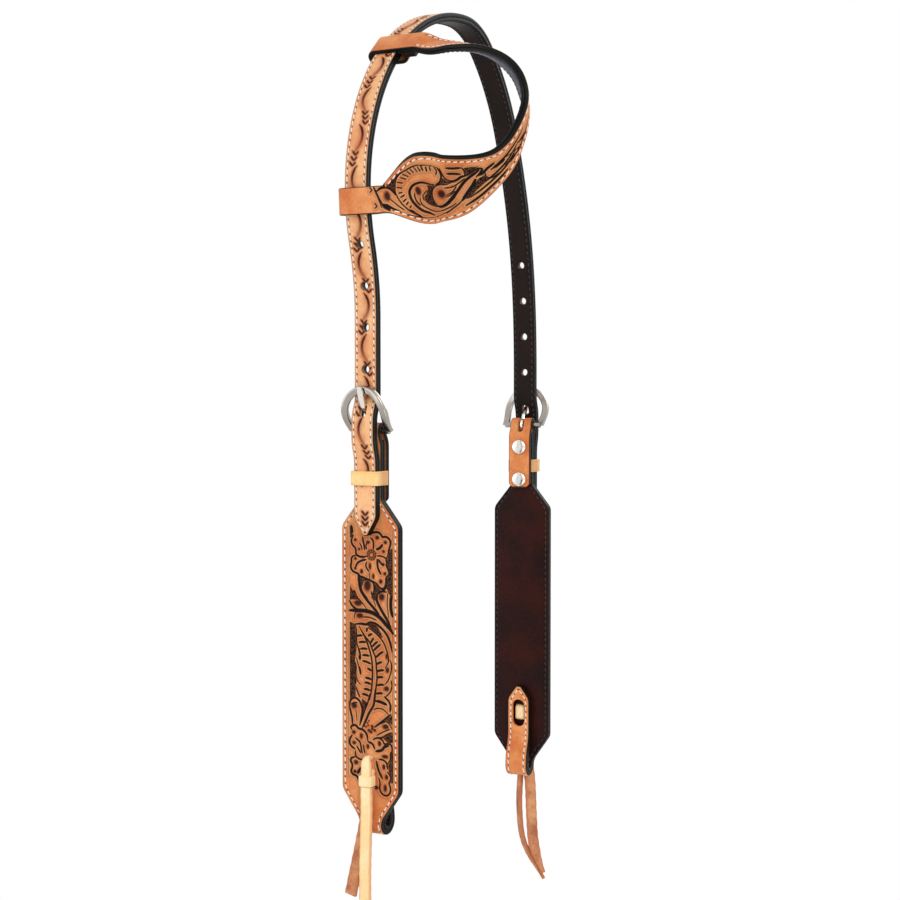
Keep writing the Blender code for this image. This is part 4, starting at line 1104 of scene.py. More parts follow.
THONG_TAN = leather("thong_tan", (1.0, 0.92, 0.74), (0.97, 0.83, 0.60),
                    finish=(0.70, 0.45, 0.25), ink=(0.88, 0.64, 0.45), roughness=0.62,
                    coat=0.0, grain=700.0)
# A browner, darker and rougher copy of the thong leather, used for every tail but the near front one.
THONG_BROWN = leather("thong_brown", (0.86, 0.62, 0.44), (0.66, 0.38, 0.27),
                      finish=(0.50, 0.28, 0.18), ink=(0.74, 0.46, 0.31), roughness=0.75,
                      coat=0.0, grain=600.0, cloud=90.0, grain_depth=0.5)
WHITE_THREAD = thread("white_thread", (0.98, 0.97, 0.94), (0.86, 0.83, 0.78))
DARK_THREAD = thread("dark_thread", (0.17, 0.10, 0.08), (0.09, 0.05, 0.04))
SATIN_STEEL = steel("satin_steel", (0.68, 0.65, 0.62), 0.26)
BRIGHT_STEEL = steel("bright_steel", (0.93, 0.92, 0.90), 0.20, 0.10)


# Tie tails: free flat thongs, made first


def thong_tail(side, which, route, u, twist, pointed):
    """A hanging thong end: it turns on itself by the twist and may be cut to a point."""
    name = side + "_tie_tail_" + which
    line = tail_stations(side, route, u)
    steps = [(b - a).length for a, b in zip(line, line[1:])]
    run = np.concatenate([[0.0], np.cumsum(steps)])
    ways = [(line[min(k + 1, len(line) - 1)] - line[max(k - 1, 0)]).normalized()
            for k in range(len(line))]
    ways[0] = Vector((0.0, 0.0, -1.0))
    normals, across = [], []
    for way, reach in zip(ways, run):
        normal = Vector((1.0, 0.0, 0.0))
        normal = (normal - way * normal.dot(way)).normalized()
        normal = Matrix.Rotation(twist * float(smooth_step(0.0, TWIST_RUN, reach)), 3, way) @ normal
        normals.append(tuple(normal))
        across.append(tuple(normal.cross(way)))
    course = Course(run, np.array([tuple(p) for p in line]), np.array(across),
                    np.array(normals), branch_place(side))
    rows = rows_between([(0.0, run[-1], 0.0012)])
    half = THONG_THICKNESS / 2
    profile = section(-half, half, 8, 6, 0.0007, 0.0005)
    half_widths = THONG_WIDTH / 2 * (
        1.0 - pointed * 0.75 * smooth_step(run[-1] - 0.022, run[-1], rows))
    mesh = strip_mesh(name + "_thong", rows, half_widths, profile, 0.0007)
    flat = coordinates(mesh)
    off_edge = np.interp(flat[:, 0], rows, half_widths) - np.abs(flat[:, 1])
    rough_cut = 1.0 - smooth_step(0.0003, 0.0012, off_edge)
    flat[:, 1] += 0.00012 * np.sin(flat[:, 0] * 900 + (flat[:, 1] > 0) * 2.0) * rough_cut
    finish_strip(mesh, course, flat, edge=rough_cut * 0.8, ground=np.zeros(len(flat)))
    surface = THONG_TAN if (side, which) == ("near", "front") else THONG_BROWN
    piece = add_object(name + "_thong", mesh, "headstall", surface, "thong_leather", name)
    path = [tuple(p) for p in branch_place(side)(np.array([tuple(p) for p in line]))]
    return piece


TAIL_FRONT_U = FOLD_OUTER + FIT_GAP + COLLAR_WALL / 2 + THONG_THICKNESS * 1.5
TAIL_BACK_U = FOLD_OUTER + FIT_GAP + THONG_THICKNESS / 2
TWIST_RUN = 0.030
thong_tail("near", "front", NEAR_FRONT_TAIL, TAIL_FRONT_U, 0.0, 0.0)
thong_tail("near", "back", NEAR_BACK_TAIL, TAIL_BACK_U, 0.0, 0.0)
thong_tail("far", "front", FAR_FRONT_TAIL, TAIL_FRONT_U, math.radians(50), 1.0)
thong_tail("far", "back", FAR_BACK_TAIL, TAIL_BACK_U, math.radians(-48), 0.8)


# Crown strap


def hole_places():
    """Where the round punched holes are along the crown."""
    near = [ENGAGED_HOLE_FROM_TIP + k * HOLE_PITCH for k in range(1, SPARE_HOLES + 1)]
    return near + [crown_line.length - s for s in near]


def crown_punches():
    bm = bmesh.new()
    for s in hole_places():
        punch(bm, s, 0.0, HOLE_RADIUS)
    stretch = ENGAGED_HOLE_LENGTH / 2 - HOLE_RADIUS
    for s in (ENGAGED_HOLE_FROM_TIP - ENGAGED_HOLE_SLIP,
              crown_line.length - ENGAGED_HOLE_FROM_TIP + ENGAGED_HOLE_SLIP):
        punch(bm, s, 0.0, HOLE_RADIUS, stretch_s=stretch)
    return bm


def hole_shade(flat, places):
    """Darkness and dishing round punched holes."""
    shade = np.zeros(len(flat))
    for s in places:
        close = np.nonzero(np.abs(flat[:, 0] - s) < 0.006)[0]
        off = np.hypot(flat[close, 0] - s, flat[close, 1]) - HOLE_RADIUS
        shade[close] = np.maximum(shade[close], 1 - smooth_step(0.0, 0.0009, np.abs(off)))
    return shade


NEEDLE_DEPTH = 0.32
SEWN_GROOVE_DEPTH = 0.16
NEEDLE_DARK = 0.9
THREAD_LIFT = 0.00002
AWAY_DYE = 0.6
AWAY_MIDDLE = 0.6
AWAY_REACH = 0.8


def press_stitches(work, hole, groove):
    """Sinks the needle holes and the groove between them, in millimetres."""
    work.height = np.minimum(work.height, -NEEDLE_DEPTH * hole)
    work.height -= SEWN_GROOVE_DEPTH * groove


def sew(name, lines, course, face, up, body, surface, slot):
    """The thread of one layer, laid on its flat face and folded into place."""
    sewn, spots = stitch_mesh(name + "_stitching", lines, face + up * THREAD_LIFT, up=up)
    sewn.vertices.foreach_set("co", course.place(spots).ravel())
    add_object(name + "_stitching", sewn, body, surface, slot)


def finish_carved(mesh, course, outline, flat, work, share, hole, up):
    """Raises, dyes, paints highlights on and folds a layer of a cheek or the ear piece."""
    work.pillow()
    flat[:, 2] += up * work.height * MM * share
    away = np.maximum(AWAY_DYE * np.exp(-((work.near - AWAY_MIDDLE) / AWAY_REACH) ** 2),
                      work.soft)
    # The rim mask is a painted highlight beside the cuts.
    finish_strip(mesh, course, flat, dark=np.maximum(work.dark, NEEDLE_DARK * hole) * share,
                 rim=work.rim_highlights() * share, edge=edge_mask(flat, outline, FACE_ROUND),
                 ground=work.ground * share, stain=away * share)


def kept_inside(line, side):
    return line[line[:, 1] * side > 0.0004]


def crown_stitch_lines():
    length = crown_line.length
    return [kept_inside(inset_line(billet_outline, CROWN_STITCH_INSET, 0.0, length, side), side)
            for side in (1, -1)]


CROWN_STITCH_INSET = 0.0019
PUNCH_EASE_DEPTH = 0.25
STAMP_ARC = [(-8.6, -2.0), (-5.6, 0.5), (-1.6, 2.3), (2.6, 2.4), (6.2, 1.0), (8.2, -0.6)]
CHEVRON = [(1.3, 1.7), (-0.9, -0.2), (0.9, -1.9)]
CHEVRON_STEP = 3.2
TIP_CHEVRON_DROP = 7.2
TIP_CHEVRON_STEP = 3.1


def chevron(work, width, aside, s, way, scale):
    """A stamped V that points to the strap's tip."""
    low, point, high = [(aside + scale * y, s + way * scale * x) for x, y in CHEVRON]
    for arm in ((low, point), (point, high)):
        work.cut(width, arm, depth=0.3, dark=0.95, taper=0.45)


def stamp_crown(work):
    """A winding stem of curved stamps, with chevrons by each hole and at each tip."""
    length = crown_line.length / MM
    pitch = HOLE_PITCH / MM
    first = ENGAGED_HOLE_FROM_TIP / MM
    for start, way in ((0.0, 1), (length, -1)):
        for k in range(3):
            s = start + way * (TIP_CHEVRON_DROP + k * TIP_CHEVRON_STEP)
            chevron(work, 1.4, 0.0, s, way, 1.25)
        count = int((length / 2 - first) / pitch) + 3
        for k in range(-2, count):
            bend = 1 if k % 2 else -1
            middle = start + way * (first + (k + 0.5) * pitch)
            if way * (length / 2 - middle) < 0.3 * pitch:
                continue
            arc = [(bend * y, middle + way * x) for x, y in STAMP_ARC]
            work.cut(1.6, arc, depth=0.34, dark=0.97, taper=0.6, fade=0.75)
            work.shade(arc, (-bend * 2.5, middle), 4.2)
            for j in range(3):
                s = middle + way * (pitch / 2 + (1 - j) * CHEVRON_STEP)
                chevron(work, 1.3, bend * (1.2 + 0.8 * j), s, way, 1.15)


def crown_layer(name, low, high, worked_high, columns, step, surface, slot, thread_surface):
    length = crown_line.length
    rows = rows_between([(0.0, 0.012, 0.0004), (0.012, length - 0.012, step),
                         (length - 0.012, length, 0.0004)])
    half = np.interp(rows, billet_outline[:, 0], billet_outline[:, 1])
    profile = section(low, high, columns, 4, FACE_ROUND, GLUE_ROUND, worked_high)
    mesh = strip_mesh(name + "_leather", rows, half, profile, FACE_ROUND)
    mesh = cut_through(mesh, crown_punches())
    flat = coordinates(mesh)
    face = high if worked_high else low
    up = 1.0 if worked_high else -1.0
    share = face_share(flat, face, 0.0002)
    lines = crown_stitch_lines()
    hole, groove = needle_marks(flat, lines)
    punched = hole_shade(flat, hole_places())
    work = Tooling(flat[:, 1], flat[:, 0])
    if worked_high:
        stamp_crown(work)
    press_stitches(work, hole, groove)
    work.height -= PUNCH_EASE_DEPTH * punched
    work.pillow()
    # The rim mask is a faint painted highlight beside the stamped cuts.
    rim = work.rim_highlights() * share
    flat[:, 2] += up * work.height * MM * share
    dark = np.maximum(np.maximum(work.dark, NEEDLE_DARK * hole) * share, 0.75 * punched)
    edge = edge_mask(flat, billet_outline, FACE_ROUND)
    halo = np.maximum(0.85 * np.exp(-(work.near / 0.8) ** 2), work.soft)
    finish_strip(mesh, crown_course, flat, dark=dark, rim=0.12 * rim, edge=edge,
                 ground=np.zeros(len(flat)), stain=np.maximum(0.35 * groove, halo) * share)
    add_object(name + "_leather", mesh, "headstall", surface, slot, name)
    sew(name, lines, crown_course, face, up, "headstall", thread_surface, slot)


crown_layer("crown_strap_outer", HALF_GAP, HALF_GAP + OUTER_THICKNESS, True, 32, 0.0005,
            CROWN_TAN, "crown_leather", WHITE_THREAD)
crown_layer("crown_strap_lining", -HALF_GAP - LINING_THICKNESS, -HALF_GAP, False, 18, 0.0009,
            CROWN_DARK, "crown_lining", DARK_THREAD)


# Cheeks

CHEEK_CARVED_TOP = 0.052
CHEEK_SEWN_TOP = 0.030
CHEEK_CARVED_FOOT = 0.232
FLOWER_RING = (1.1, 76.2, 3.6)
BORDER_W = 16.0
BORDER_TOP = 60.0
BORDER_FOOT = 214.0
BORDER_CUT_WIDTH = 0.45
# Carving of the cheeks, read from enlarged crops of the photo. A crop is its left and
# top place in the photo, in pixels, and its enlargement. Strokes are in the crop's own pixels:
# cuts are (width, points), ground is an outline, seeds are (x, y, half-width, half-height).

CHEEK_TOP_CROP = (338, 498, 15.37)
CHEEK_MIDDLE_CROP = (338, 590, 14.25)
CHEEK_LOW_CROP = (338, 690, 14.25)
CHEEK_CUT_SHARE = 0.95
CHEEK_SEED_SHARES = (0.73, 0.62)
CHEEK_FACE_OUT = 0.0051
VEIN_WIDTH = 24
VEIN_RISE = 6
CHEEK_TOP_CUTS = [
    # First flower
    (24, [(440, 575), (500, 545), (560, 525), (620, 530), (660, 565), (680, 598), (740, 600),
        (790, 640), (805, 690), (795, 750), (780, 800), (770, 850), (755, 905)]),
    (22, [(755, 905), (735, 950), (748, 1000), (742, 1045), (765, 1090), (780, 1140), (775, 1190),
        (740, 1225), (735, 1290), (728, 1340), (705, 1385), (670, 1395), (630, 1370), (600, 1330),
        (550, 1290), (500, 1265)]),
    (24, [(235, 575), (210, 620), (205, 670), (225, 725), (260, 760), (272, 800), (275, 850),
        (300, 885), (350, 905), (400, 905), (440, 895)]),
    (24, [(265, 885), (225, 895), (205, 930), (205, 990), (195, 1030), (200, 1080), (225, 1120),
        (265, 1145), (310, 1165), (330, 1200), (375, 1215), (430, 1240), (500, 1265)]),
    (24, [(430, 945), (370, 960), (310, 990), (280, 1030), (265, 1075)]),
    (20, [(440, 985), (425, 1030), (440, 1085), (475, 1130)]),
    (26, [(600, 945), (605, 1010), (610, 1070), (635, 1130), (660, 1175)]),
    (18, [(600, 890), (660, 895), (710, 915), (740, 940)]),
    (24, [(620, 950), (655, 1000), (690, 1040)]),
    (30, [(590, 790), (640, 770), (680, 720)]),
    (22, [(378, 600), (385, 660), (398, 720), (408, 800)]),
    (16, [(330, 690), (355, 740), (368, 800)]),
    (16, [(440, 690), (430, 740), (438, 790)]),
    (22, [(500, 610), (535, 655), (545, 720), (540, 790)]),
    (12, [(480, 1150), (480, 1190), (490, 1250)]),
    (34, [(205, 425), (208, 470), (218, 525)]),
    (36, [(310, 1190), (325, 1290), (335, 1370), (365, 1450), (420, 1530), (470, 1600)]),
    (20, [(370, 1340), (382, 1275), (430, 1250), (490, 1270), (540, 1310), (552, 1400), (545, 1480),
        (560, 1568)]),
    (10, [(505, 1420), (512, 1480), (522, 1560)]),
    # Right bud
    (22, [(600, 1568), (598, 1510), (620, 1450), (680, 1430), (720, 1400), (742, 1350)]),
]
CHEEK_TOP_GROUND = [
    # First flower
    [(320, 1200), (400, 1235), (375, 1280), (365, 1380), (400, 1480), (450, 1580), (400, 1540),
        (345, 1430), (325, 1320)],
    [(548, 1300), (620, 1370), (655, 1420), (600, 1470), (590, 1568), (565, 1568), (550, 1470),
        (556, 1390)],
    [(180, 1330), (230, 1430), (270, 1500), (310, 1550), (180, 1535)],
    [(790, 800), (838, 770), (842, 1200), (842, 1568), (770, 1460), (735, 1380), (745, 1240),
        (785, 1190), (785, 1130), (755, 1050), (748, 960)],
    [(178, 430), (205, 430), (215, 530), (235, 575), (205, 620), (180, 600)],
]
CHEEK_TOP_SEEDS = [
    # First flower
    (450, 1345, 50, 85),
    # Struck seeds
    (265, 640, 22, 22),
    (325, 785, 20, 20),
    (460, 680, 25, 25),
    (600, 610, 28, 28),
    (725, 685, 26, 26),
    (697, 822, 22, 22),
    (695, 1025, 22, 22),
    (720, 1165, 24, 24),
    (655, 1285, 26, 32),
    (540, 1205, 20, 40),
    (490, 1050, 20, 50),
    (360, 1130, 24, 34),
    (265, 930, 22, 22),
    (265, 1080, 20, 20),
]
CHEEK_MIDDLE_CUTS = [
    # Stems
    (12, [(235, 0), (270, 90), (340, 180), (410, 270)]),
    (28, [(325, 0), (370, 90), (440, 180), (510, 260), (580, 345)]),
    (10, [(480, 20), (500, 130), (540, 240)]),
    (30, [(560, 60), (545, 130), (580, 220), (640, 330), (700, 430), (745, 530)]),
    (20, [(560, 60), (620, 25), (690, 30)]),
    (36, [(755, 90), (750, 200), (755, 290), (775, 380)]),
    (12, [(705, 50), (700, 200), (710, 310), (720, 400)]),
    (22, [(165, 150), (200, 220), (260, 270), (310, 285)]),
    (12, [(215, 130), (290, 130), (335, 180)]),
    (40, [(170, 290), (290, 290), (400, 300), (510, 335), (600, 400), (670, 480), (740, 560),
        (780, 620)]),
    (12, [(235, 420), (232, 355), (265, 312), (330, 308), (420, 325)]),
    (14, [(350, 385), (450, 390), (550, 435)]),
    (26, [(245, 485), (330, 480), (400, 490), (450, 465), (530, 480), (610, 540), (680, 620),
        (730, 720), (770, 880)]),
    (12, [(520, 600), (570, 650), (625, 710)]),
    # Big leaf
    (16, [(250, 500), (262, 600), (262, 700), (275, 790), (300, 850), (312, 910), (295, 960),
        (312, 1000)]),
    (22, [(290, 830), (312, 910), (318, 985)]),
    (14, [(262, 960), (285, 1060), (318, 1130), (325, 1200)]),
    (22, [(298, 1090), (310, 1140), (322, 1200)]),
    (14, [(262, 1080), (256, 1200), (278, 1290), (320, 1350)]),
    (18, [(250, 1370), (278, 1450), (312, 1530)]),
    (16, [(430, 540), (540, 620), (640, 740), (690, 860), (712, 950), (715, 1030), (670, 1110)]),
    (15, [(740, 1000), (760, 1080), (750, 1180), (712, 1290), (670, 1345)]),
    (15, [(752, 1290), (765, 1370), (740, 1460), (670, 1530)]),
    (20, [(300, 520), (350, 610), (390, 690), (430, 800), (460, 900), (480, 1000), (490, 1150),
        (485, 1300), (470, 1450), (448, 1568)]),
    (18, [(350, 610), (400, 680), (450, 750), (500, 880), (530, 960), (545, 1100), (555, 1250),
        (540, 1400), (525, 1568)]),
]
CHEEK_MIDDLE_GROUND = [
    # Stems
    [(165, 0), (235, 0), (270, 90), (290, 130), (200, 135), (165, 140)],
    [(400, 492), (450, 470), (520, 490), (565, 530), (610, 610), (640, 690), (600, 670), (530, 600),
        (450, 540)],
    # Big leaf
    [(165, 450), (240, 482), (250, 600), (262, 700), (262, 850), (240, 1000), (262, 1060), (255, 1200),
        (265, 1300), (245, 1370), (252, 1500), (240, 1540), (165, 1568)],
]
CHEEK_MIDDLE_SEEDS = [
    # Stems
    (620, 100, 40, 48),
    (285, 185, 55, 38),
    (310, 365, 45, 34),
    # Big leaf
    (690, 950, 14, 40),
    (702, 1145, 24, 40),
    (690, 1410, 36, 34),
]
CHEEK_LOW_CUTS = [
    # Lower part
    (22, [(165, 240), (175, 150), (235, 108), (300, 150), (330, 220), (345, 290), (330, 390),
        (310, 500)]),
    (22, [(165, 240), (185, 330), (200, 400), (205, 480)]),
    (14, [(190, 200), (230, 180), (280, 182)]),
    (10, [(250, 280), (262, 360), (268, 440)]),
    (18, [(450, 60), (420, 190), (390, 260), (350, 380), (310, 500)]),
    (26, [(530, 0), (520, 120), (500, 230), (440, 330), (400, 420), (350, 530)]),
    (30, [(540, 160), (600, 170), (690, 210)]),
    (22, [(660, 100), (720, 160), (745, 230), (740, 310)]),
    (14, [(510, 290), (540, 265), (620, 270), (680, 310), (712, 350)]),
    (22, [(750, 350), (640, 440), (520, 530)]),
    (14, [(600, 490), (640, 465), (690, 455), (740, 500), (765, 560)]),
    (14, [(550, 650), (640, 600), (740, 562)]),
    (20, [(770, 610), (700, 640), (620, 680), (540, 688), (500, 710)]),
    # Second flower
    (24, [(195, 560), (182, 530), (220, 500), (260, 510), (290, 545), (340, 562), (390, 600),
        (415, 660), (420, 720)]),
    (22, [(200, 640), (170, 690), (165, 750), (190, 800), (240, 840)]),
    (20, [(250, 870), (245, 910), (270, 960), (330, 990), (370, 990)]),
    (24, [(245, 950), (192, 970), (180, 1010), (200, 1050), (202, 1100), (186, 1150), (212, 1200),
        (262, 1222), (290, 1270), (312, 1330)]),
    (26, [(335, 1052), (372, 1030)]),
    (32, [(280, 1185), (310, 1132), (362, 1095)]),
    (20, [(245, 680), (310, 740), (330, 830), (345, 905)]),
    (18, [(268, 800), (296, 850), (322, 895)]),
    (18, [(358, 780), (368, 840), (382, 900)]),
    (22, [(430, 740), (490, 770), (522, 840)]),
    (20, [(505, 700), (560, 682), (612, 700), (640, 732), (660, 772), (720, 768), (760, 800),
        (770, 870), (745, 912), (748, 980), (712, 1048)]),
    (30, [(540, 875), (620, 860), (660, 812), (712, 800)]),
    (20, [(580, 988), (640, 1000), (690, 1045), (702, 1130)]),
    (24, [(545, 1020), (570, 1130), (608, 1218), (632, 1265)]),
    (20, [(700, 1170), (735, 1218), (752, 1270), (726, 1332), (742, 1390), (745, 1450), (712, 1500),
        (660, 1502), (612, 1462), (590, 1400), (596, 1330), (580, 1255)]),
]
CHEEK_LOW_GROUND = [
    # Lower part
    [(335, 120), (400, 165), (425, 200), (385, 300), (350, 380), (347, 290), (335, 205)],
    [(640, 692), (720, 642), (782, 620), (784, 750), (740, 765), (690, 745)],
    [(645, 448), (720, 392), (772, 360), (776, 510), (740, 482), (690, 446)],
    # Second flower
    [(750, 905), (785, 880), (786, 1335), (745, 1335), (765, 1262), (722, 1180), (712, 1100),
        (722, 1050), (755, 980)],
]
CHEEK_LOW_SEEDS = [
    # Lower part
    (230, 220, 40, 42),
    (675, 525, 42, 34),
    # Second flower
    (590, 765, 24, 36),
    (668, 952, 44, 26),
    (652, 1098, 22, 36),
    (690, 1245, 22, 34),
    (672, 1400, 22, 48),
    (540, 1390, 34, 22),
    # Struck seeds
    (440, 440, 12, 12),
    (420, 470, 12, 12),
    (430, 505, 12, 12),
    (400, 525, 12, 12),
    (378, 512, 12, 12),
    (442, 578, 20, 20),
    (486, 520, 20, 20),
    (488, 555, 20, 20),
    (522, 575, 20, 20),
    (470, 600, 20, 20),
    (225, 600, 28, 28),
    (330, 655, 22, 38),
    (230, 750, 26, 26),
    (425, 805, 20, 34),
    (255, 1030, 32, 32),
    (240, 1160, 26, 26),
]
BIG_LEAF_VEINS = [
    (340, 650, 275, 655), (390, 745, 300, 745), (410, 840, 320, 840), (440, 940, 350, 930),
    (460, 1050, 350, 1010), (470, 1150, 420, 1120), (470, 1275, 390, 1250), (460, 1340, 380, 1320),
    (450, 1430, 370, 1410), (430, 1510, 345, 1480), (405, 590, 415, 545), (430, 655, 480, 630),
    (470, 750, 505, 690), (490, 805, 560, 740), (510, 860, 600, 780), (540, 960, 640, 880),
    (550, 1060, 620, 1030), (555, 1160, 650, 1145), (560, 1250, 640, 1245), (560, 1360, 650, 1355),
    (550, 1480, 630, 1475),
]


def on_cheek(x, y):
    """Where a pixel of the photo lies on the near cheek's face: across and down the leg, mm."""
    ray = pixel_ray(x, y)
    reach = (NEAR_CHEEK_X - CHEEK_FACE_OUT - CAMERA_PLACE[0]) / ray[0]
    spot = np.array(CAMERA_PLACE) + ray * reach
    return round(-spot[1] / MM, 1), round((BAR_Z - spot[2]) / MM, 1)


cheek_drawing = Drawing(on_cheek, CHEEK_CUT_SHARE, CHEEK_SEED_SHARES)
cheek_drawing.read(CHEEK_TOP_CROP, CHEEK_TOP_CUTS, CHEEK_TOP_GROUND, CHEEK_TOP_SEEDS)
cheek_drawing.read(CHEEK_MIDDLE_CROP, CHEEK_MIDDLE_CUTS, CHEEK_MIDDLE_GROUND, CHEEK_MIDDLE_SEEDS)
cheek_drawing.read(CHEEK_LOW_CROP, CHEEK_LOW_CUTS, CHEEK_LOW_GROUND, CHEEK_LOW_SEEDS)
cheek_drawing.read(CHEEK_MIDDLE_CROP, [
    (VEIN_WIDTH, [(x1, y1), ((x1 + x2) / 2, (y1 + y2) / 2 - VEIN_RISE), (x2, y2)])
    for x1, y1, x2, y2 in BIG_LEAF_VEINS])


def carve_cheek(work):
    cheek_drawing.carve(work)
    work.ring(*FLOWER_RING)
    for side in (-1, 1):
        middle = (BORDER_TOP + BORDER_FOOT) / 2
        work.cut(BORDER_CUT_WIDTH, [(side * BORDER_W, s) for s in (BORDER_TOP, middle, BORDER_FOOT)],
                 depth=0.22, dark=0.6, taper=0.0)


def cheek_punches(layer):
    """Tongue slot, screw holes, tie slots and window, each in its own leg."""
    bm = bmesh.new()
    back = BACK_LEG_DROP
    if layer == "outer":
        low_end = back - TONGUE_SLOT_DROP
        high_end = front_start + TONGUE_SLOT_DROP
        punch(bm, (low_end + high_end) / 2, 0.0, TONGUE_SLOT_WIDTH / 2,
              stretch_s=(high_end - low_end - TONGUE_SLOT_WIDTH) / 2)
    for drop in (UPPER_SCREW_DROP, LOWER_SCREW_DROP):
        if layer == "outer":
            punch(bm, back - drop, 0.0, POST_RADIUS + FIT_GAP)
        punch(bm, front_start + drop, 0.0, POST_HEAD_RADIUS + FIT_GAP
              if layer == "outer" else POST_RADIUS + FIT_GAP)
    for drop, wide in ((TIE_UPPER_DROP, 0.0026), (TIE_LOWER_DROP, 0.0040)):
        punch(bm, front_start + drop, 0.0, THONG_THICKNESS / 2 + FIT_GAP,
              stretch_w=wide - THONG_THICKNESS / 2)
    window = cheek_line.length - (WINDOW_TOP_DROP - TAB_TIP_DROP) - WINDOW_HEIGHT / 2
    punch(bm, window, 0.0, WINDOW_WIDTH / 2, stretch_s=(WINDOW_HEIGHT - WINDOW_WIDTH) / 2)
    return bm


def cheek_stitch_lines(start):
    """Rows down both sides of the front, round the bit fold and up the tab to its point."""
    length = cheek_line.length
    return [kept_inside(inset_line(cheek_outline, STITCH_INSET, start, length, side), side)
            for side in (1, -1)]


def cheek_layer(side, layer, course):
    outer = layer == "outer"
    low, high = ((HALF_GAP, HALF_GAP + OUTER_THICKNESS) if outer
                 else (-HALF_GAP - LINING_THICKNESS, -HALF_GAP))
    outline = cheek_outline if outer else lining_outline
    start, length = outline[0, 0], cheek_line.length
    carved_low, carved_high = front_start + CHEEK_CARVED_TOP, front_start + CHEEK_CARVED_FOOT
    sewn_from = front_start + CHEEK_SEWN_TOP
    if outer:
        rows = rows_between([(start, 0.004, 0.0005), (0.004, carved_low, 0.0011),
                             (carved_low, carved_high, 0.00036),
                             (carved_high, length - 0.01, 0.0009),
                             (length - 0.01, length, 0.0004)])
    else:
        rows = rows_between([(start, length - 0.01, 0.0011), (length - 0.01, length, 0.0005)])
    half = np.interp(rows, outline[:, 0], outline[:, 1])
    profile = section(low, high, 108 if outer else 40, 6, FACE_ROUND, GLUE_ROUND, outer)
    name = side + "_cheek_" + layer
    mesh = strip_mesh(name + "_leather", rows, half, profile, FACE_ROUND)
    mesh = cut_through(mesh, cheek_punches(layer))
    flat = coordinates(mesh)
    face = high if outer else low
    up = 1.0 if outer else -1.0
    share = face_share(flat, face, 0.0002)
    lines = cheek_stitch_lines(sewn_from)
    hole, groove = needle_marks(flat, lines)
    mirrored = 1.0 if side == "near" else -1.0
    work = Tooling(mirrored * flat[:, 1], flat[:, 0] - front_start)
    if outer:
        carve_cheek(work)
    press_stitches(work, hole, groove)
    finish_carved(mesh, course, outline, flat, work, share, hole, up)
    surface = TOOLED_TAN if outer else CHEEK_DARK
    slot = "cheek_leather" if outer else "cheek_lining"
    add_object(name + "_leather", mesh, "headstall", surface, slot, name)
    sew(name, lines, course, face, up, "headstall", WHITE_THREAD if outer else DARK_THREAD, slot)


for side, course in cheek_courses.items():
    cheek_layer(side, "outer", course)
    cheek_layer(side, "lining", course)


# Ear piece


ear_glue = HALF_GAP + OUTER_THICKNESS + LOOP_CLEARANCE - HALF_GAP
ear_behind = -HALF_GAP - LINING_THICKNESS - LOOP_CLEARANCE + HALF_GAP
loop_radius = (ear_glue - ear_behind) / 2
loop_mid = (ear_glue + ear_behind) / 2
corner_reach = max(HALF_GAP + OUTER_THICKNESS - loop_mid,
                   HALF_GAP + LINING_THICKNESS + loop_mid)
bow_centre = STRAP_HALF - math.sqrt(
    (loop_radius + HALF_GAP - LOOP_EDGE_CLEARANCE) ** 2 - corner_reach ** 2)
tail_glue = ear_glue - HALF_GAP - EAR_LINING_THICKNESS - FIT_GAP
ARC_RADIUS = NEAR_ARCS[0][0]
ARC_CENTRE_Z = CROWN_GLUE_Z - ARC_RADIUS
EAR_STEPS = 14
LOOP_STATIONS = 120


def on_loop(turn, y, off):
    """A point at a place along Y and off the glue line, on the crown's near arc."""
    reach = ARC_RADIUS + off
    return Vector((reach * math.cos(turn), y, ARC_CENTRE_Z + reach * math.sin(turn)))


def loop_stations(turn, first):
    """Stations (spot, way, face, half-width) of one loop, tail first."""
    line = Line(-LOOP_STRAIGHT, tail_glue, 0.0)
    line.run(LOOP_TAIL)
    line.shift(LOOP_BEND_RUN, ear_behind - tail_glue)
    line.run(bow_centre - line.x[-1])
    line.arc(loop_radius, math.pi)
    line.run(bow_centre + LOOP_STRAIGHT)
    radial = Vector((math.cos(turn), 0.0, math.sin(turn)))
    stations = []
    for y, off, heading in zip(*line.walk(np.linspace(0.0, line.length, LOOP_STATIONS))):
        way = Vector((0.0, math.cos(heading), 0.0)) + radial * math.sin(heading)
        face = Vector((0.0, math.sin(heading), 0.0)) - radial * math.cos(heading)
        stations.append((on_loop(turn, y, off), way * (1 if first else -1), face,
                         EAR_LOOP_WIDTH / 2))
    return stations if first else stations[::-1]


def band_stations():
    """Stations of the shaped band between the ends of the two loops' straights."""
    low = on_loop(EAR_LOWER_TURN, -LOOP_STRAIGHT, ear_glue)
    high = on_loop(EAR_UPPER_TURN, -LOOP_STRAIGHT, ear_glue)
    step = Vector((0.0, LOOP_STRAIGHT / 2, 0.0))
    half = EAR_LOOP_WIDTH / 2
    low_facing = 1.5 * math.pi - EAR_LOWER_TURN
    high_facing = EAR_UPPER_TURN - math.pi / 2
    rows = [(low + step, low_facing, half), (low, low_facing, half)]
    for reach, rise, side, facing, width in EAR_LINE_SHARES:
        spot = Vector((low.x + side * (high.x - low.x), -reach * EAR_REACH,
                       low.z + rise * (high.z - low.z)))
        rows.append((spot, math.radians(facing), width * EAR_WIDEST / 2))
    rows += [(high, high_facing, half), (high + step, high_facing, half)]
    stations = []
    for index in range(1, len(rows) - 2):
        four = rows[index - 1:index + 3]
        for k in range(1 if index == 1 else 0, EAR_STEPS):
            t = k / EAR_STEPS
            spot, facing, width = (smooth_mix(*[row[i] for row in four], t) for i in range(3))
            ahead = smooth_mix(*[row[0] for row in four], t + 0.0004)
            way = (ahead - spot).normalized()
            outward = Vector((0.0, -way.z, way.y)).normalized()
            face = outward * math.cos(facing) - Vector((1, 0, 0)) * math.sin(facing)
            face = (face - way * face.dot(way)).normalized()
            stations.append((spot, way, face, width))
    return stations


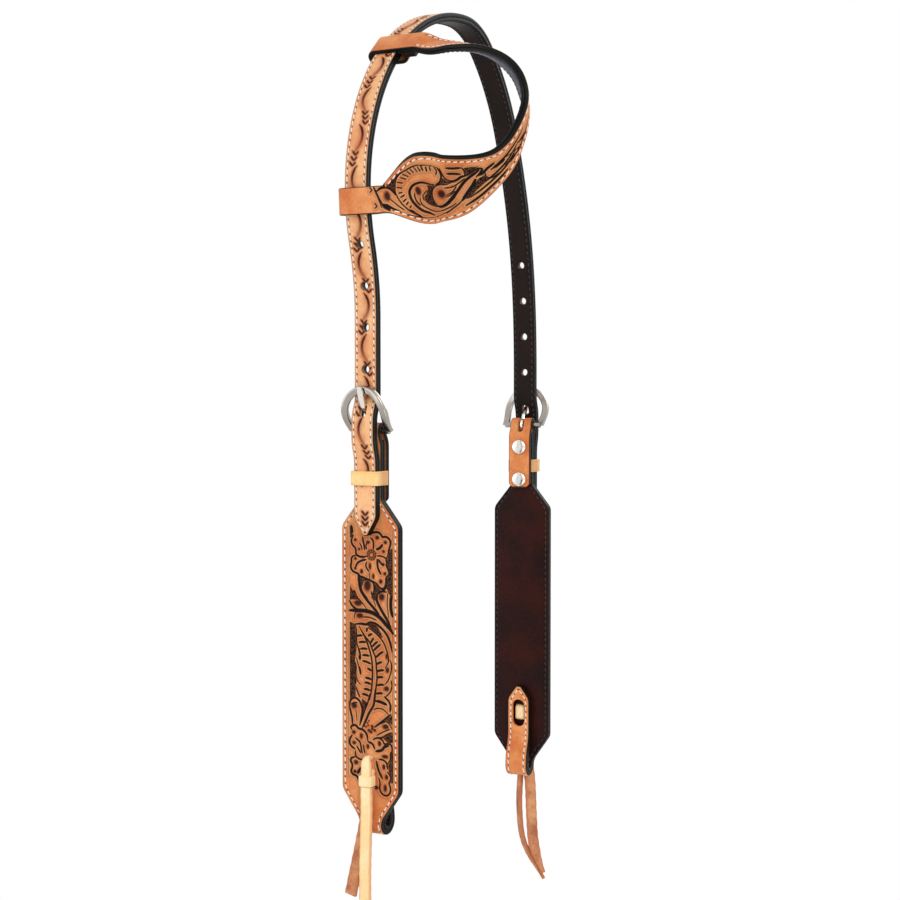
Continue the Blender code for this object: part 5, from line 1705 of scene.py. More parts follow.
def straight_end(turn, y, sign):
    radial = Vector((math.cos(turn), 0.0, math.sin(turn)))
    return on_loop(turn, y, ear_glue), Vector((0.0, sign, 0.0)), radial, EAR_LOOP_WIDTH / 2


def ear_course(stations):
    spots = [tuple(s[0]) for s in stations]
    across = [tuple(s[2].cross(s[1]).normalized()) for s in stations]
    faces = [tuple(s[2]) for s in stations]
    course = Course.from_stations(spots, across, faces)
    outline = np.stack([course.s, np.array([s[3] for s in stations])], 1)
    return course, outline


ear_band = band_stations()
ear_outer_course, ear_outer_outline = ear_course(
    loop_stations(EAR_LOWER_TURN, True) + ear_band + loop_stations(EAR_UPPER_TURN, False))
lining_edge = -STRAP_HALF - LINING_SETBACK
ear_lining_course, ear_lining_outline = ear_course(
    [straight_end(EAR_LOWER_TURN, lining_edge, -1),
     straight_end(EAR_LOWER_TURN, -LOOP_STRAIGHT, -1)] + ear_band
    + [straight_end(EAR_UPPER_TURN, -LOOP_STRAIGHT, 1),
       straight_end(EAR_UPPER_TURN, lining_edge, 1)])
# Carving of the ear piece, read in the same way. The rim points are the band's two
# outlines in whole photo pixels. The cuts listed in millimetres are guessed, to fill a sparse stretch.

EAR_LEFT_CROP = (365, 148, 17.42)
EAR_RIGHT_CROP = (445, 95, 12.75)
EAR_CUT_SHARE = 0.66
EAR_SEED_SHARES = (0.8, 0.8)
EAR_FACE_OUT = 0.0023
EAR_READ_BEFORE = 14.0
EAR_READ_STEP = 0.25
EAR_READ_HALF = 26.0
EAR_READ_MARGIN = 0.5
# Strokes were laid out on a lower loop taken this much longer, in mm, and stay where they were.
EAR_READ_SLIP = 0.0197
EAR_UNSTRETCHED = 80
EAR_STRETCH = (0.85, 1.35)
EAR_LEAST_RIM = 5
EAR_UPPER_RIM = [
    (386, 170), (401, 157.5), (423.4, 153.3), (445.5, 154.7), (464.9, 155.3), (484, 150.6),
    (498, 142.3), (509, 127), (516, 107.8),
]
EAR_LOWER_RIM = [
    (530, 96.7), (531.7, 110.5), (530.6, 124), (525.6, 141), (517, 157.5), (503.5, 177),
    (485.6, 193.4), (467.6, 206), (451, 214), (431.7, 219.7), (412, 221), (396, 218),
]
EAR_HAND_CUTS = [
    (1.6, [(-14.5, 112), (-12, 122), (-9, 132), (-6.5, 142)]),
    (1.3, [(-10.5, 116), (-8, 126), (-5.5, 136), (-3.5, 146), (-2, 154)]),
    (1.4, [(-5, 128), (-3, 138), (-1.5, 148), (0, 158)]),
    (1.6, [(0.5, 136), (1.5, 146), (2, 156), (1.5, 166)]),
    (1.2, [(-4.5, 146), (-4, 156), (-3.5, 168), (-2.5, 178)]),
]
EAR_LEFT_CUTS = [
    # Cut that closes the carving beside the lower loop
    (20, [(150, 700), (220, 870), (290, 1040)]),
    # Big scroll leaf
    (24, [(1240, 340), (1130, 308), (1000, 305), (880, 315), (780, 345), (690, 385), (610, 430),
        (560, 500), (530, 580), (520, 660), (525, 740), (545, 820), (590, 900), (640, 970),
        (700, 1030), (770, 1085), (850, 1120), (960, 1155)]),
    (40, [(1250, 340), (1300, 410), (1325, 490), (1315, 560), (1285, 610), (1230, 640)]),
    (46, [(1200, 640), (1120, 628), (1040, 608), (960, 605), (890, 620), (830, 655), (790, 705),
        (775, 765), (785, 835), (815, 900), (865, 960), (925, 1010), (1000, 1050), (1090, 1075),
        (1190, 1085)]),
    (30, [(1205, 345), (1245, 400), (1230, 475)]),
    # Inner curl
    (26, [(860, 780), (868, 850), (905, 920), (960, 975)]),
    (24, [(955, 840), (965, 915), (1010, 970), (1085, 1010), (1180, 1030), (1290, 1022), (1400, 990),
        (1500, 945), (1560, 905)]),
    (22, [(1075, 735), (1035, 780), (1005, 830), (1020, 890)]),
    # Second scroll
    (30, [(1480, 610), (1400, 640), (1310, 640), (1230, 665), (1175, 720), (1158, 790), (1185, 870),
        (1245, 935)]),
    (56, [(1568, 770), (1480, 870), (1400, 930), (1310, 960), (1240, 950)]),
    (22, [(1380, 705), (1460, 690), (1560, 650)]),
    (22, [(1390, 830), (1460, 805), (1560, 735)]),
    # Right leaf head
    (34, [(1290, 360), (1340, 450), (1390, 530), (1470, 570), (1560, 572)]),
    (34, [(1400, 345), (1480, 350), (1568, 348)]),
    (40, [(1430, 440), (1500, 445), (1568, 440)]),
    # Left lobe
    (46, [(215, 750), (270, 700), (350, 685), (430, 705), (490, 755), (530, 815)]),
    (34, [(300, 975), (400, 1010), (500, 1060), (620, 1115)]),
    (30, [(320, 1005), (400, 1040), (480, 1070)]),
    (20, [(430, 880), (520, 960), (600, 1030), (690, 1085)]),
    # Border beside the lower stitches
    (16, [(700, 1150), (900, 1168), (1100, 1150), (1250, 1095), (1400, 1035), (1560, 945)]),
]
EAR_LEFT_GROUND = [
    # Inner curl
    [(1060, 650), (1200, 655), (1180, 710), (1155, 780), (1175, 860), (1230, 930), (1290, 965),
        (1200, 965), (1100, 945), (1040, 900), (1025, 840), (1065, 780), (1095, 725), (1085, 680)],
    # Matted wedge between leaf and second scroll
    [(1310, 600), (1345, 520), (1400, 560), (1480, 590), (1560, 585), (1500, 615), (1400, 625),
        (1300, 630), (1240, 650)],
    # Left lobe
    [(290, 650), (395, 525), (500, 435), (600, 415), (560, 500), (525, 580), (515, 680), (515, 760),
        (440, 700), (350, 675), (290, 680)],
    [(330, 990), (430, 1020), (560, 1090), (470, 1075), (360, 1035)],
]
EAR_LEFT_SEEDS = [
    # Inner curl
    (925, 745, 60, 34),
    # Second scroll
    (1330, 785, 62, 46),
    # Left lobe
    (385, 838, 62, 34),
]
EAR_RIGHT_CUTS = [
    # Right part
    (34, [(10, 930), (100, 932), (190, 925)]),
    (34, [(20, 1000), (100, 1003), (190, 1008)]),
    (24, [(200, 920), (240, 960), (255, 1030)]),
    (34, [(60, 1110), (140, 1085), (200, 1045), (260, 1025)]),
    (30, [(255, 1035), (340, 980), (420, 935), (470, 942), (440, 1000), (400, 1040)]),
    (38, [(0, 1350), (80, 1290), (160, 1200), (240, 1110), (320, 1040), (390, 990), (425, 955)]),
    (20, [(0, 1180), (100, 1168), (190, 1110), (250, 1060)]),
    (18, [(10, 1262), (90, 1220), (140, 1160)]),
    (44, [(200, 1300), (280, 1210), (350, 1130), (385, 1075)]),
    (18, [(0, 1445), (100, 1385), (200, 1300)]),
    (34, [(620, 862), (540, 930), (480, 1000), (440, 1022)]),
    (20, [(510, 985), (520, 1030), (570, 1042), (640, 1005), (700, 960)]),
    (46, [(625, 925), (690, 870), (750, 825)]),
    (26, [(760, 885), (850, 785), (920, 705), (965, 650)]),
    (18, [(700, 830), (800, 770), (900, 690), (1000, 600)]),
    (44, [(935, 600), (1000, 505), (1050, 420), (1085, 335)]),
    (26, [(1085, 335), (1098, 260), (1105, 170)]),
]
EAR_RIGHT_GROUND = [
    # Right part
    [(235, 925), (330, 912), (430, 905), (340, 970), (270, 1020), (255, 980)],
    [(230, 1290), (350, 1140), (420, 1060), (500, 1020), (545, 1045), (480, 1110), (380, 1190),
        (290, 1270)],
]
EAR_LEAF_VEINS_WIDTH = 26
EAR_LEAF_VEINS = [
    [(1120, 325), (1135, 400)], [(1050, 325), (1075, 405)], [(980, 330), (1010, 405)], [(915, 335),
    (960, 420)], [(850, 352), (915, 425)], [(785, 375), (845, 435)], [(720, 400), (795, 460)],
    [(650, 450), (755, 495)], [(605, 515), (715, 545)], [(560, 600), (660, 610)], [(555, 690),
    (650, 700)], [(580, 790), (650, 775)], [(620, 865), (690, 820)], [(660, 935), (720, 890)],
    [(720, 990), (755, 935)], [(780, 1045), (805, 990)],
]
EAR_LEAF_STAMPS_WIDTH = 34
EAR_LEAF_STAMPS = [
    [(790, 1080), (860, 1105)], [(850, 1110), (920, 1140)], [(920, 1130), (985, 1165)],
]


class EarReader:
    """Finds the place on the ear piece's face, in millimetres, that a pixel of the photo shows."""

    def __init__(self, course, outline):
        low = course.s[LOOP_STATIONS - 1] / MM - EAR_READ_BEFORE
        high = course.s[-LOOP_STATIONS - 1] / MM
        self.along = np.arange(low, high, EAR_READ_STEP)
        self.across = np.arange(-EAR_READ_HALF, EAR_READ_HALF + 0.01, EAR_READ_STEP)
        self.outline = outline / MM
        along_grid, across_grid = np.meshgrid(self.along, self.across, indexing="ij")
        flat = np.stack([along_grid.ravel() * MM, across_grid.ravel() * MM,
                         np.full(along_grid.size, EAR_FACE_OUT)], 1)
        off = course.place(flat) - CAMERA_PLACE
        depth = off @ FORWARD
        self.x = PHOTO_SIDE / 2 + FOCAL_PIXELS * (off @ RIGHT) / depth
        self.y = PHOTO_SIDE / 2 - FOCAL_PIXELS * (off @ UPWARD) / depth
        beyond = np.abs(across_grid) > self.half(along_grid) + EAR_READ_MARGIN
        self.outside = np.where(beyond.ravel(), 1e6, 0)
        self.upper = self.rim(EAR_UPPER_RIM)
        self.lower = self.rim(EAR_LOWER_RIM)

    def half(self, s):
        return np.interp(s, self.outline[:, 0], self.outline[:, 1])

    def nearest(self, x, y):
        best = np.argmin((self.x - x) ** 2 + (self.y - y) ** 2 + self.outside)
        row, column = divmod(int(best), len(self.across))
        return float(self.across[column]), float(self.along[row])

    def rim(self, points):
        """An outline of the band as the photo shows it, as sorted (along, across) rows."""
        return np.array(sorted(self.nearest(x, y)[::-1] for x, y in points))

    def __call__(self, x, y):
        """The place of a pixel, drawn out so that the photo's outline meets the band's own."""
        w, s = self.nearest(x, y)
        if s + EAR_READ_SLIP >= EAR_UNSTRETCHED:
            line = self.upper if w > 0 else self.lower
            seen = abs(np.interp(s, line[:, 0], line[:, 1]))
            w *= min(EAR_STRETCH[1], max(EAR_STRETCH[0], self.half(s) / max(seen, EAR_LEAST_RIM)))
        return round(float(w), 1), round(s + EAR_READ_SLIP, 1)


ear_drawing = Drawing(EarReader(ear_outer_course, ear_outer_outline), EAR_CUT_SHARE,
                      EAR_SEED_SHARES)
ear_drawing.read(EAR_LEFT_CROP, EAR_LEFT_CUTS, EAR_LEFT_GROUND, EAR_LEFT_SEEDS)
ear_drawing.read(EAR_LEFT_CROP, [(EAR_LEAF_VEINS_WIDTH, line) for line in EAR_LEAF_VEINS]
                 + [(EAR_LEAF_STAMPS_WIDTH, line) for line in EAR_LEAF_STAMPS])
ear_drawing.read(EAR_RIGHT_CROP, EAR_RIGHT_CUTS, EAR_RIGHT_GROUND)
ear_drawing.cuts += EAR_HAND_CUTS

EAR_CREASE = [(7.4, 61.3), (0.0, 65.2), (-7.4, 69.3)]
TACK_MARKS = [(6.0, 59.4), (-3.6, 62.6)]
TACK_ARMS = [(1.5, -1.0), (-0.4, 0.9), (-1.6, -0.9)]


def carve_ear(work):
    work.cut(1.2, EAR_CREASE, depth=0.4, taper=0.1)
    for x, y in TACK_MARKS:
        arms = [(x + a, y + b) for a, b in TACK_ARMS]
        for arm in (arms[:2], arms[1:]):
            work.cut(1.0, arm, depth=0.3, dark=0.95, taper=0.4)
    ear_drawing.carve(work)


EAR_OUTER_PLAIN = 0.057
EAR_LINING_PLAIN = 0.012
EAR_CARVED_LENGTH = 0.115
EAR_OUTER_UNSEWN = 0.070
EAR_LINING_UNSEWN = 0.010


def ear_layer(name, course, outline, low, high, outer):
    length = course.length
    loop = EAR_OUTER_PLAIN if outer else EAR_LINING_PLAIN
    rows = rows_between([(0.0, loop, 0.0008),
                         (loop, loop + EAR_CARVED_LENGTH, 0.00042 if outer else 0.001),
                         (loop + EAR_CARVED_LENGTH, length, 0.0008)])
    half = np.interp(rows, outline[:, 0], outline[:, 1])
    profile = section(low, high, 96 if outer else 36, 6, FACE_ROUND * 0.9, GLUE_ROUND, outer)
    mesh = strip_mesh(name + "_leather", rows, half, profile, FACE_ROUND)
    flat = coordinates(mesh)
    face, up = (high, 1.0) if outer else (low, -1.0)
    share = face_share(flat, face, 0.0002)
    ends = EAR_OUTER_UNSEWN if outer else EAR_LINING_UNSEWN
    lines = [inset_line(outline, STITCH_INSET, ends, length - ends, side) for side in (1, -1)]
    hole, groove = needle_marks(flat, lines)
    work = Tooling(flat[:, 1], flat[:, 0])
    if outer:
        carve_ear(work)
        room = np.interp(flat[:, 0], outline[:, 0], outline[:, 1]) - np.abs(flat[:, 1])
        inner = smooth_step(STITCH_INSET + 0.0004, STITCH_INSET + 0.0010, room)
        work.keep_within(np.where(flat[:, 0] < ends, 1.0, inner))
    press_stitches(work, hole, groove)
    finish_carved(mesh, course, outline, flat, work, share, hole, up)
    surface = TOOLED_TAN if outer else EAR_DARK
    slot = "ear_leather" if outer else "ear_lining"
    add_object(name + "_leather", mesh, "ear_piece", surface, slot, name)
    sew(name, lines, course, face, up, "ear_piece", WHITE_THREAD if outer else DARK_THREAD, slot)


ear_layer("ear_piece_outer", ear_outer_course, ear_outer_outline, HALF_GAP,
          HALF_GAP + EAR_OUTER_THICKNESS, True)
ear_layer("ear_piece_lining", ear_lining_course, ear_lining_outline,
          -HALF_GAP - EAR_LINING_THICKNESS, -HALF_GAP, False)


# Buckles


def place_mesh(mesh, move):
    mesh.vertices.foreach_set("co", move(coordinates(mesh)).ravel())
    mesh.update()


def bar_frame(side, tilt=0.0):
    """The move from a buckle's own frame (off, across, along) to the world."""
    branch = branch_place(side)
    lean, rise = math.cos(tilt), math.sin(tilt)

    def move(points):
        off, w, up = points.T
        return branch(np.stack([FOLD_LEAN + off * lean + up * rise, w,
                                up * lean - off * rise], 1))
    return move


def horseshoe_mesh(name):
    """A bowed horseshoe rail with a crowned face, and the bar across its feet."""
    base = BUCKLE_LENGTH - BUCKLE_ROUND
    angles = np.linspace(0.0, math.pi, 56)
    leg = np.linspace(0.0, 1.0, 10)[:-1]
    right = np.stack([BUCKLE_FOOT_HALF_WIDTH + (BUCKLE_HALF_WIDTH - BUCKLE_FOOT_HALF_WIDTH)
                      * smooth_step(0, 1, leg), base * leg], 1)
    bend = np.stack([BUCKLE_HALF_WIDTH * np.cos(angles),
                     base + BUCKLE_ROUND * np.sin(angles)], 1)
    line = np.concatenate([right, bend, right[::-1] * (-1, 1)])
    steps = np.linalg.norm(np.diff(line, axis=0), axis=1)
    run = np.concatenate([[0.0], np.cumsum(steps)])
    ways = unit(np.gradient(line, axis=0))
    side_ways = np.stack([ways[:, 1], -ways[:, 0]], 1)
    profile = section(-RAIL_THICKNESS / 2, RAIL_THICKNESS / 2, 8, 6, 0.0007, 0.0006)
    widths = np.full(len(line), RAIL_FACE / 2)

    def place(flat, row):
        share = line[row, 1] / BUCKLE_LENGTH
        bow = 4 * BUCKLE_BOW * share * (1 - share)
        spot = line[row] + side_ways[row] * flat[:, 1:2]
        crown = 0.00025 * (1 - (flat[:, 1] / (RAIL_FACE / 2)) ** 2) * (flat[:, 2] > 0.001)
        return np.stack([bow + flat[:, 2] + crown, spot[:, 0], spot[:, 1]], 1)
    mesh = strip_mesh(name, run, widths, profile, 0.0007, place)
    bm = bmesh.new()
    bm.from_mesh(mesh)
    bar = bmesh.ops.create_cone(bm, cap_ends=True, segments=24, radius1=BAR_RADIUS,
                                radius2=BAR_RADIUS, depth=2 * BUCKLE_FOOT_HALF_WIDTH)
    bmesh.ops.rotate(bm, verts=bar["verts"], cent=(0, 0, 0),
                     matrix=Matrix.Rotation(math.pi / 2, 3, "X"))
    bmesh.ops.recalc_face_normals(bm, faces=bm.faces)
    bm.to_mesh(mesh)
    bm.free()
    return mesh


def tongue_mesh(name):
    """A flat forged tongue: an eye round the bar and a stem that swells to a leaf tip."""
    corners = [(*TONGUE_LINE[0], 0.0), (*TONGUE_LINE[1], 0.004), (*TONGUE_LINE[2], 0.004),
               (*TONGUE_LINE[3], 0.0)]
    stem = along(drawn_round(corners, 5))
    steps = np.linalg.norm(np.diff(stem, axis=0), axis=1)
    run = np.concatenate([[0.0], np.cumsum(steps)])
    share = run / run[-1]
    ways = unit(np.gradient(stem, axis=0))
    off_ways = np.stack([ways[:, 1], -ways[:, 0]], 1)
    widths = TONGUE_WIDTH / 2 * (0.58 + 0.42 * smooth_step(0.42, 0.80, share)
                                 - 0.45 * smooth_step(0.88, 1.0, share))
    thin = TONGUE_THICKNESS / 2 * (1 - 0.45 * smooth_step(0.75, 1.0, share))
    profile = section(-1.0, 1.0, 8, 8, 0.0007, 0.0006)

    def place(flat, row):
        lift = flat[:, 2] * thin[row] * np.sqrt(np.clip(
            1 - 0.55 * (flat[:, 1] / widths[row]) ** 2, 0.2, 1.0))
        return np.stack([stem[row, 0] + off_ways[row, 0] * lift, flat[:, 1],
                         stem[row, 1] + off_ways[row, 1] * lift], 1)
    mesh = strip_mesh(name, run, widths, profile, 0.0007, place)
    bm = bmesh.new()
    bm.from_mesh(mesh)
    wire = TONGUE_THICKNESS / 2
    ring = bmesh.ops.create_circle(bm, segments=14, radius=wire)["verts"]
    bmesh.ops.translate(bm, verts=ring, vec=(BAR_RADIUS + FIT_GAP + wire, 0, 0))
    rim = list({e for v in ring for e in v.link_edges})
    bmesh.ops.spin(bm, geom=ring + rim, cent=(0, 0, 0), axis=(0, 1, 0), angle=2 * math.pi,
                   steps=32, use_merge=True)
    bmesh.ops.recalc_face_normals(bm, faces=bm.faces)
    bm.to_mesh(mesh)
    bm.free()
    return mesh


def smooth_metal(mesh, angle=40):
    mesh.shade_smooth()
    mesh.set_sharp_from_angle(angle=math.radians(angle))


for side in ("near", "far"):
    frame_mesh = horseshoe_mesh(side + "_buckle_horseshoe")
    place_mesh(frame_mesh, bar_frame(side, BUCKLE_TILT))
    smooth_metal(frame_mesh)
    add_object(side + "_buckle_horseshoe", frame_mesh, side + "_buckle_frame", SATIN_STEEL,
               "buckle_steel", side + "_buckle_frame")
    stem_mesh = tongue_mesh(side + "_buckle_tongue_forged")
    place_mesh(stem_mesh, bar_frame(side))
    smooth_metal(stem_mesh)
    add_object(side + "_buckle_tongue_forged", stem_mesh, side + "_buckle_tongue",
               BRIGHT_STEEL, "buckle_steel", side + "_buckle_tongue")


# Keepers


def keeper_mesh(name):
    """A folded leather loop with rounded corners and eased edges."""
    low = LINING_INNER_U - FIT_GAP
    high = BILLET_OUTER_U + FIT_GAP
    half_u = (high - low) / 2 + KEEPER_THICKNESS / 2
    half_w = STRAP_HALF + FIT_GAP + KEEPER_THICKNESS / 2
    radius = 0.0010
    outline = []
    for sign_u, sign_w, start in ((1, 1, 0), (-1, 1, 1), (-1, -1, 2), (1, -1, 3)):
        for k in range(7):
            angle = math.pi / 2 * (start + k / 6)
            outline.append(((low + high) / 2 + sign_u * (half_u - radius)
                            + radius * math.cos(angle),
                            sign_w * (half_w - radius) + radius * math.sin(angle)))
    loop = np.array(outline)
    spots = []
    for a, b in zip(loop, np.roll(loop, -1, axis=0)):
        pieces = max(1, round(np.hypot(*(b - a)) / 0.0008))
        spots += [a + (b - a) * k / pieces for k in range(pieces)]
    ring = np.array(spots)
    ways = unit(np.roll(ring, -1, axis=0) - np.roll(ring, 1, axis=0))
    out_ways = np.stack([ways[:, 1], -ways[:, 0]], 1)
    bm = bmesh.new()
    profile = section(-KEEPER_THICKNESS / 2, KEEPER_THICKNESS / 2, 10, 6, 0.0005, 0.0004)
    half_height = KEEPER_HEIGHT / 2
    bmesh.ops.create_grid(bm, x_segments=len(ring), y_segments=len(profile), size=0.5)
    for v in bm.verts:
        row = round((v.co.x + 0.5) * len(ring)) % len(ring)
        column = round((v.co.y + 0.5) * len(profile)) % len(profile)
        share, beyond, height = profile[column]
        z = share * (half_height - 0.0005) + beyond - KEEPER_DROP
        spot = ring[row] + out_ways[row] * height
        v.co = (spot[0], spot[1], z)
    bmesh.ops.remove_doubles(bm, verts=bm.verts, dist=1e-7)
    bmesh.ops.recalc_face_normals(bm, faces=bm.faces)
    mesh = bpy.data.meshes.new(name)
    bm.to_mesh(mesh)
    bm.free()
    return mesh, half_height


for side in ("near", "far"):
    loop_mesh, half_height = keeper_mesh(side + "_keeper_loop")
    height = coordinates(loop_mesh)[:, 2] + KEEPER_DROP
    off_edge = half_height - np.abs(height)
    add_masks(loop_mesh, edge=0.7 * (1 - smooth_step(0.0001, 0.0006, off_edge)),
              dark=0.12 * np.exp(-((off_edge - 0.0013) / 0.00025) ** 2),
              rim=np.zeros(len(height)), ground=np.zeros(len(height)),
              # The stain here is painted shade: the keeper's sides and back are darker than its outer
              # face.
              stain=0.65 * (1 - smooth_step(BILLET_OUTER_U - 0.006, BILLET_OUTER_U + 0.001,
                                            coordinates(loop_mesh)[:, 0])))
    place_mesh(loop_mesh, branch_place(side))
    loop_mesh.shade_smooth()
    add_object(side + "_keeper_loop", loop_mesh, side + "_keeper", KEEPER_TAN,
               "keeper_leather", side + "_keeper")


# Screws


def screw_mesh(name, drop):
    """A domed screw head with a milled slot and a rounded rim."""
    face = -FOLD_OUTER - FIT_GAP
    bm = bmesh.new()
    rise = SCREW_HEAD_HEIGHT
    profile = [(FOLD_INNER - FIT_GAP - face, 0.0), (FOLD_INNER - FIT_GAP - face, 0.0015),
               (0.0, 0.0015), (0.0, SCREW_HEAD_RADIUS - 0.0004),
               (-0.0002, SCREW_HEAD_RADIUS - 0.0001), (-0.0006, SCREW_HEAD_RADIUS),
               (-rise * 0.6, SCREW_HEAD_RADIUS - 0.0002), (-rise * 0.8, SCREW_HEAD_RADIUS - 0.0007),
               (-rise * 0.93, SCREW_HEAD_RADIUS - 0.0018), (-rise, SCREW_HEAD_RADIUS - 0.0034),
               (-rise, 0.0)]
    spine = [bm.verts.new((x + face, r, 0.0)) for x, r in profile]
    edges = [bm.edges.new(pair) for pair in zip(spine, spine[1:])]
    bmesh.ops.spin(bm, geom=spine + edges, cent=(0, 0, 0), axis=(1, 0, 0),
                   angle=2 * math.pi, steps=40, use_merge=True)
    bmesh.ops.remove_doubles(bm, verts=bm.verts, dist=1e-7)
    bmesh.ops.recalc_face_normals(bm, faces=bm.faces)
    mesh = bpy.data.meshes.new(name)
    bm.to_mesh(mesh)
    bm.free()
    slot = bmesh.new()
    bmesh.ops.create_cube(slot, size=1.0)
    bmesh.ops.scale(slot, verts=slot.verts, vec=(0.004, SCREW_SLOT_WIDTH, 0.012))
    bmesh.ops.translate(slot, verts=slot.verts,
                        vec=(face - rise + SCREW_SLOT_DEPTH - 0.002, 0, 0))
    mesh = cut_through(mesh, slot)
    values = coordinates(mesh)
    values[:, 2] -= drop
    mesh.vertices.foreach_set("co", values.ravel())
    return mesh


for side in ("near", "far"):
    for which, drop in (("upper", UPPER_SCREW_DROP), ("lower", LOWER_SCREW_DROP)):
        name = f"{side}_{which}_screw"
        head = screw_mesh(name + "_head", drop)
        place_mesh(head, branch_place(side))
        smooth_metal(head, 35)
        add_object(name + "_head", head, "headstall", BRIGHT_STEEL, "screw_steel", name)
        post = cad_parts[f"{side}_{which}_post"]
        for place in post.material_slots:
            place.material = BRIGHT_STEEL


# Ties


def tie_line():
    """The thong's line from inside the collar up, in, down and out to the collar."""
    leaf_u = TAIL_FRONT_U
    back_u = TAIL_BACK_U
    inner_u = LINING_INNER_U - FIT_GAP - THONG_THICKNESS / 2
    knot = COLLAR_TOP_DROP + COLLAR_HEIGHT / 2
    line = Line(leaf_u, -knot, math.pi / 2)
    line.run(knot - TIE_UPPER_DROP - TIE_ARCH)
    line.arc(TIE_ARCH, math.pi / 2)
    line.run(leaf_u - TIE_ARCH - inner_u - TIE_BEND)
    line.arc(TIE_BEND, math.pi / 2)
    line.run(TIE_LOWER_DROP - TIE_UPPER_DROP - 2 * TIE_BEND)
    line.arc(TIE_BEND, math.pi / 2)
    line.run(back_u - inner_u - 2 * TIE_BEND)
    line.arc(TIE_BEND, -math.pi / 2)
    line.run(knot - TIE_LOWER_DROP - TIE_BEND)
    return line


COLLAR_GRIP = 0.0006


def collar_mesh(bm, high):
    """A short leather wrap round both thongs, a box with bevelled edges."""
    low = FOLD_OUTER + FIT_GAP
    made = bmesh.ops.create_cube(bm, size=1.0)["verts"]
    bmesh.ops.scale(bm, verts=made, vec=(high - low, THONG_WIDTH + 2 * COLLAR_GRIP,
                                         COLLAR_HEIGHT))
    bmesh.ops.translate(bm, verts=made, vec=((high + low) / 2, 0.0,
                                             -COLLAR_TOP_DROP - COLLAR_HEIGHT / 2))
    edges = list({e for v in made for e in v.link_edges})
    bmesh.ops.bevel(bm, geom=edges, offset=0.0013, offset_type="OFFSET", segments=4,
                    profile=0.5, affect="EDGES", material=-1)


for side in ("near", "far"):
    line = tie_line()
    course = Course.from_line(line, branch_place(side))
    rows = rows_between([(0.0, line.length, 0.0004)])
    shoulder = COLLAR_TOP_DROP + COLLAR_HEIGHT / 2 - TIE_UPPER_DROP - TIE_ARCH
    widths = THONG_WIDTH / 2 * (0.88 - 0.28 * smooth_step(shoulder - 0.001, shoulder + 0.003, rows)
                                + 0.30 * smooth_step(shoulder + 0.006, shoulder + 0.010, rows))
    half = THONG_THICKNESS / 2
    profile = section(-half, half, 10, 6, 0.0008, 0.0006)
    mesh = strip_mesh(side + "_tie_thong", rows, widths, profile, 0.0008)
    flat = coordinates(mesh)
    width = np.interp(flat[:, 0], rows, widths)
    crown = 0.0005 * (1 - (flat[:, 1] / np.maximum(width, 1e-6)) ** 2) * (flat[:, 2] > half * 0.9)
    flat[:, 2] += crown
    edge = 0.6 * (1 - smooth_step(0.0002, 0.0010, width - np.abs(flat[:, 1])))
    mesh.vertices.foreach_set("co", course.place(flat).ravel())
    bm = bmesh.new()
    bm.from_mesh(mesh)
    local = bmesh.new()
    collar_mesh(local, TAIL_FRONT_U + half + COLLAR_WALL)
    wrap = bpy.data.meshes.new("wrap")
    local.to_mesh(wrap)
    local.free()
    place_mesh(wrap, branch_place(side))
    bm.from_mesh(wrap)
    bmesh.ops.recalc_face_normals(bm, faces=bm.faces)
    bm.to_mesh(mesh)
    bm.free()
    count = len(mesh.vertices)
    masks = np.zeros(count)
    masks[:len(edge)] = edge
    add_masks(mesh, edge=masks, dark=np.zeros(count), rim=np.zeros(count),
              ground=np.zeros(count), stain=0.3 * masks)
    mesh.shade_smooth()
    mesh.set_sharp_from_angle(angle=math.radians(55))
    add_object(side + "_tie_thong", mesh, "headstall", THONG_TAN, "thong_leather",
               side + "_tie")


# Studio


def look_from(place, target):
    return (Vector(target) - Vector(place)).to_track_quat("-Z", "Y").to_euler()


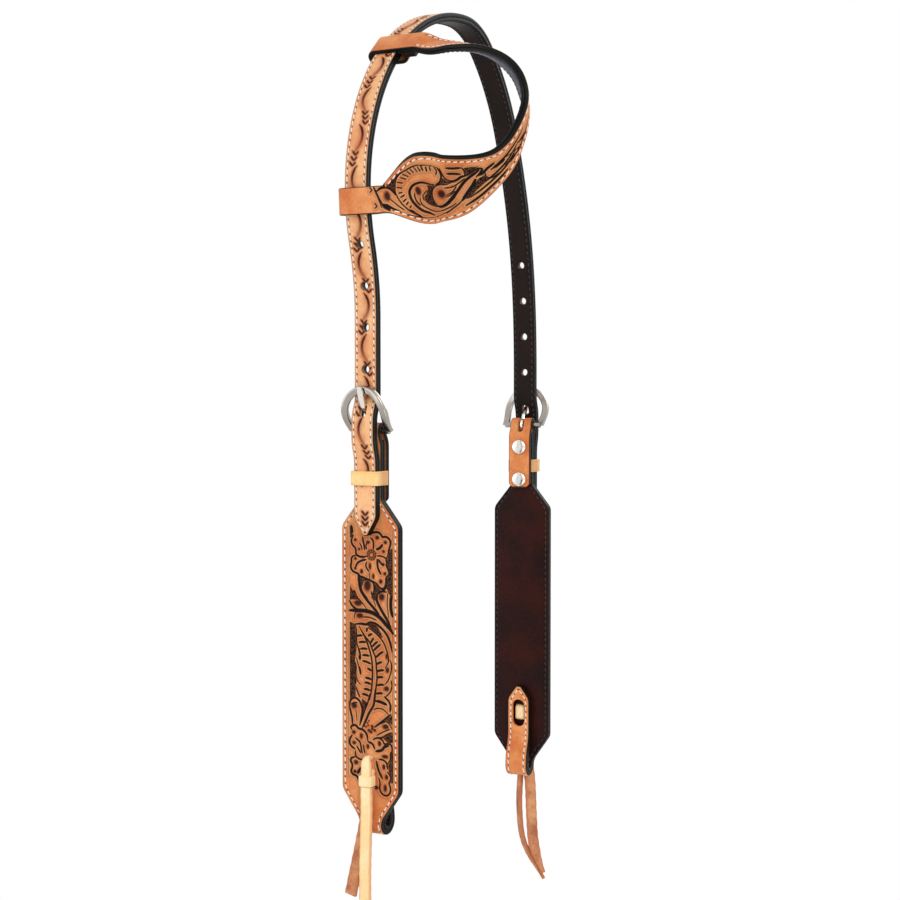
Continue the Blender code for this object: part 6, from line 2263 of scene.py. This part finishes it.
MIDDLE = (0.0, 0.0, -0.28)
LAMPS = [("key", (-1.5, -1.5, 0.9), 1.4, 26.0), ("fill", (-1.3, 1.5, 0.0), 1.8, 12.0),
         ("rear", (1.6, -0.4, 0.8), 1.6, 16.0), ("low", (-0.9, -0.9, -1.0), 1.2, 5.0)]
for name, place, size, power in LAMPS:
    lamp = bpy.data.lights.new(name, "AREA")
    lamp.shape = "DISK"
    lamp.size = size
    lamp.energy = power
    made = bpy.data.objects.new(name, lamp)
    made.location = place
    made.rotation_euler = look_from(place, MIDDLE)
    bpy.context.scene.collection.objects.link(made)

world = bpy.data.worlds.new("world")
bpy.context.scene.world = world
world.use_nodes = True
w = Wiring(world.node_tree)
path = w.add("LightPath")
seen = w.maths("MAXIMUM", path.outputs["Is Camera Ray"],
               w.maths("MAXIMUM", path.outputs["Is Glossy Ray"],
                       path.outputs["Is Transmission Ray"]))
sky = world.node_tree.nodes["Background"]
w.feed(sky.inputs["Color"], (1.0, 1.0, 1.0, 1.0))
w.feed(sky.inputs["Strength"], w.maths("ADD", w.maths("MULTIPLY", seen, 0.5), 0.5))

FLOOR_DROP = 1.0
FLOOR_RADIUS = 1.1
bm = bmesh.new()
bmesh.ops.create_circle(bm, cap_ends=True, segments=96, radius=FLOOR_RADIUS)
bmesh.ops.translate(bm, verts=bm.verts, vec=(0.0, 0.0, -FLOOR_DROP))
floor_mesh = bpy.data.meshes.new("floor")
bm.to_mesh(floor_mesh)
bm.free()
surface, w, shader = new_surface("floor_white")
speckle = w.noise(w.add("TexCoord").outputs["Object"], 40.0)
w.feed(shader.inputs["Base Color"], w.blend(speckle, (0.88, 0.88, 0.88, 1), (0.92, 0.92, 0.92, 1)))
shader.inputs["Roughness"].default_value = 0.8
floor_mesh.materials.append(surface)
floor = bpy.data.objects.new("floor", floor_mesh)
bpy.context.scene.collection.objects.link(floor)
floor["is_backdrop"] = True

bpy.context.scene.view_settings.view_transform = "Standard"

size = {"cad": [list(p) for p in cad_bounds], "visual": [list(p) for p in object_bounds()]}
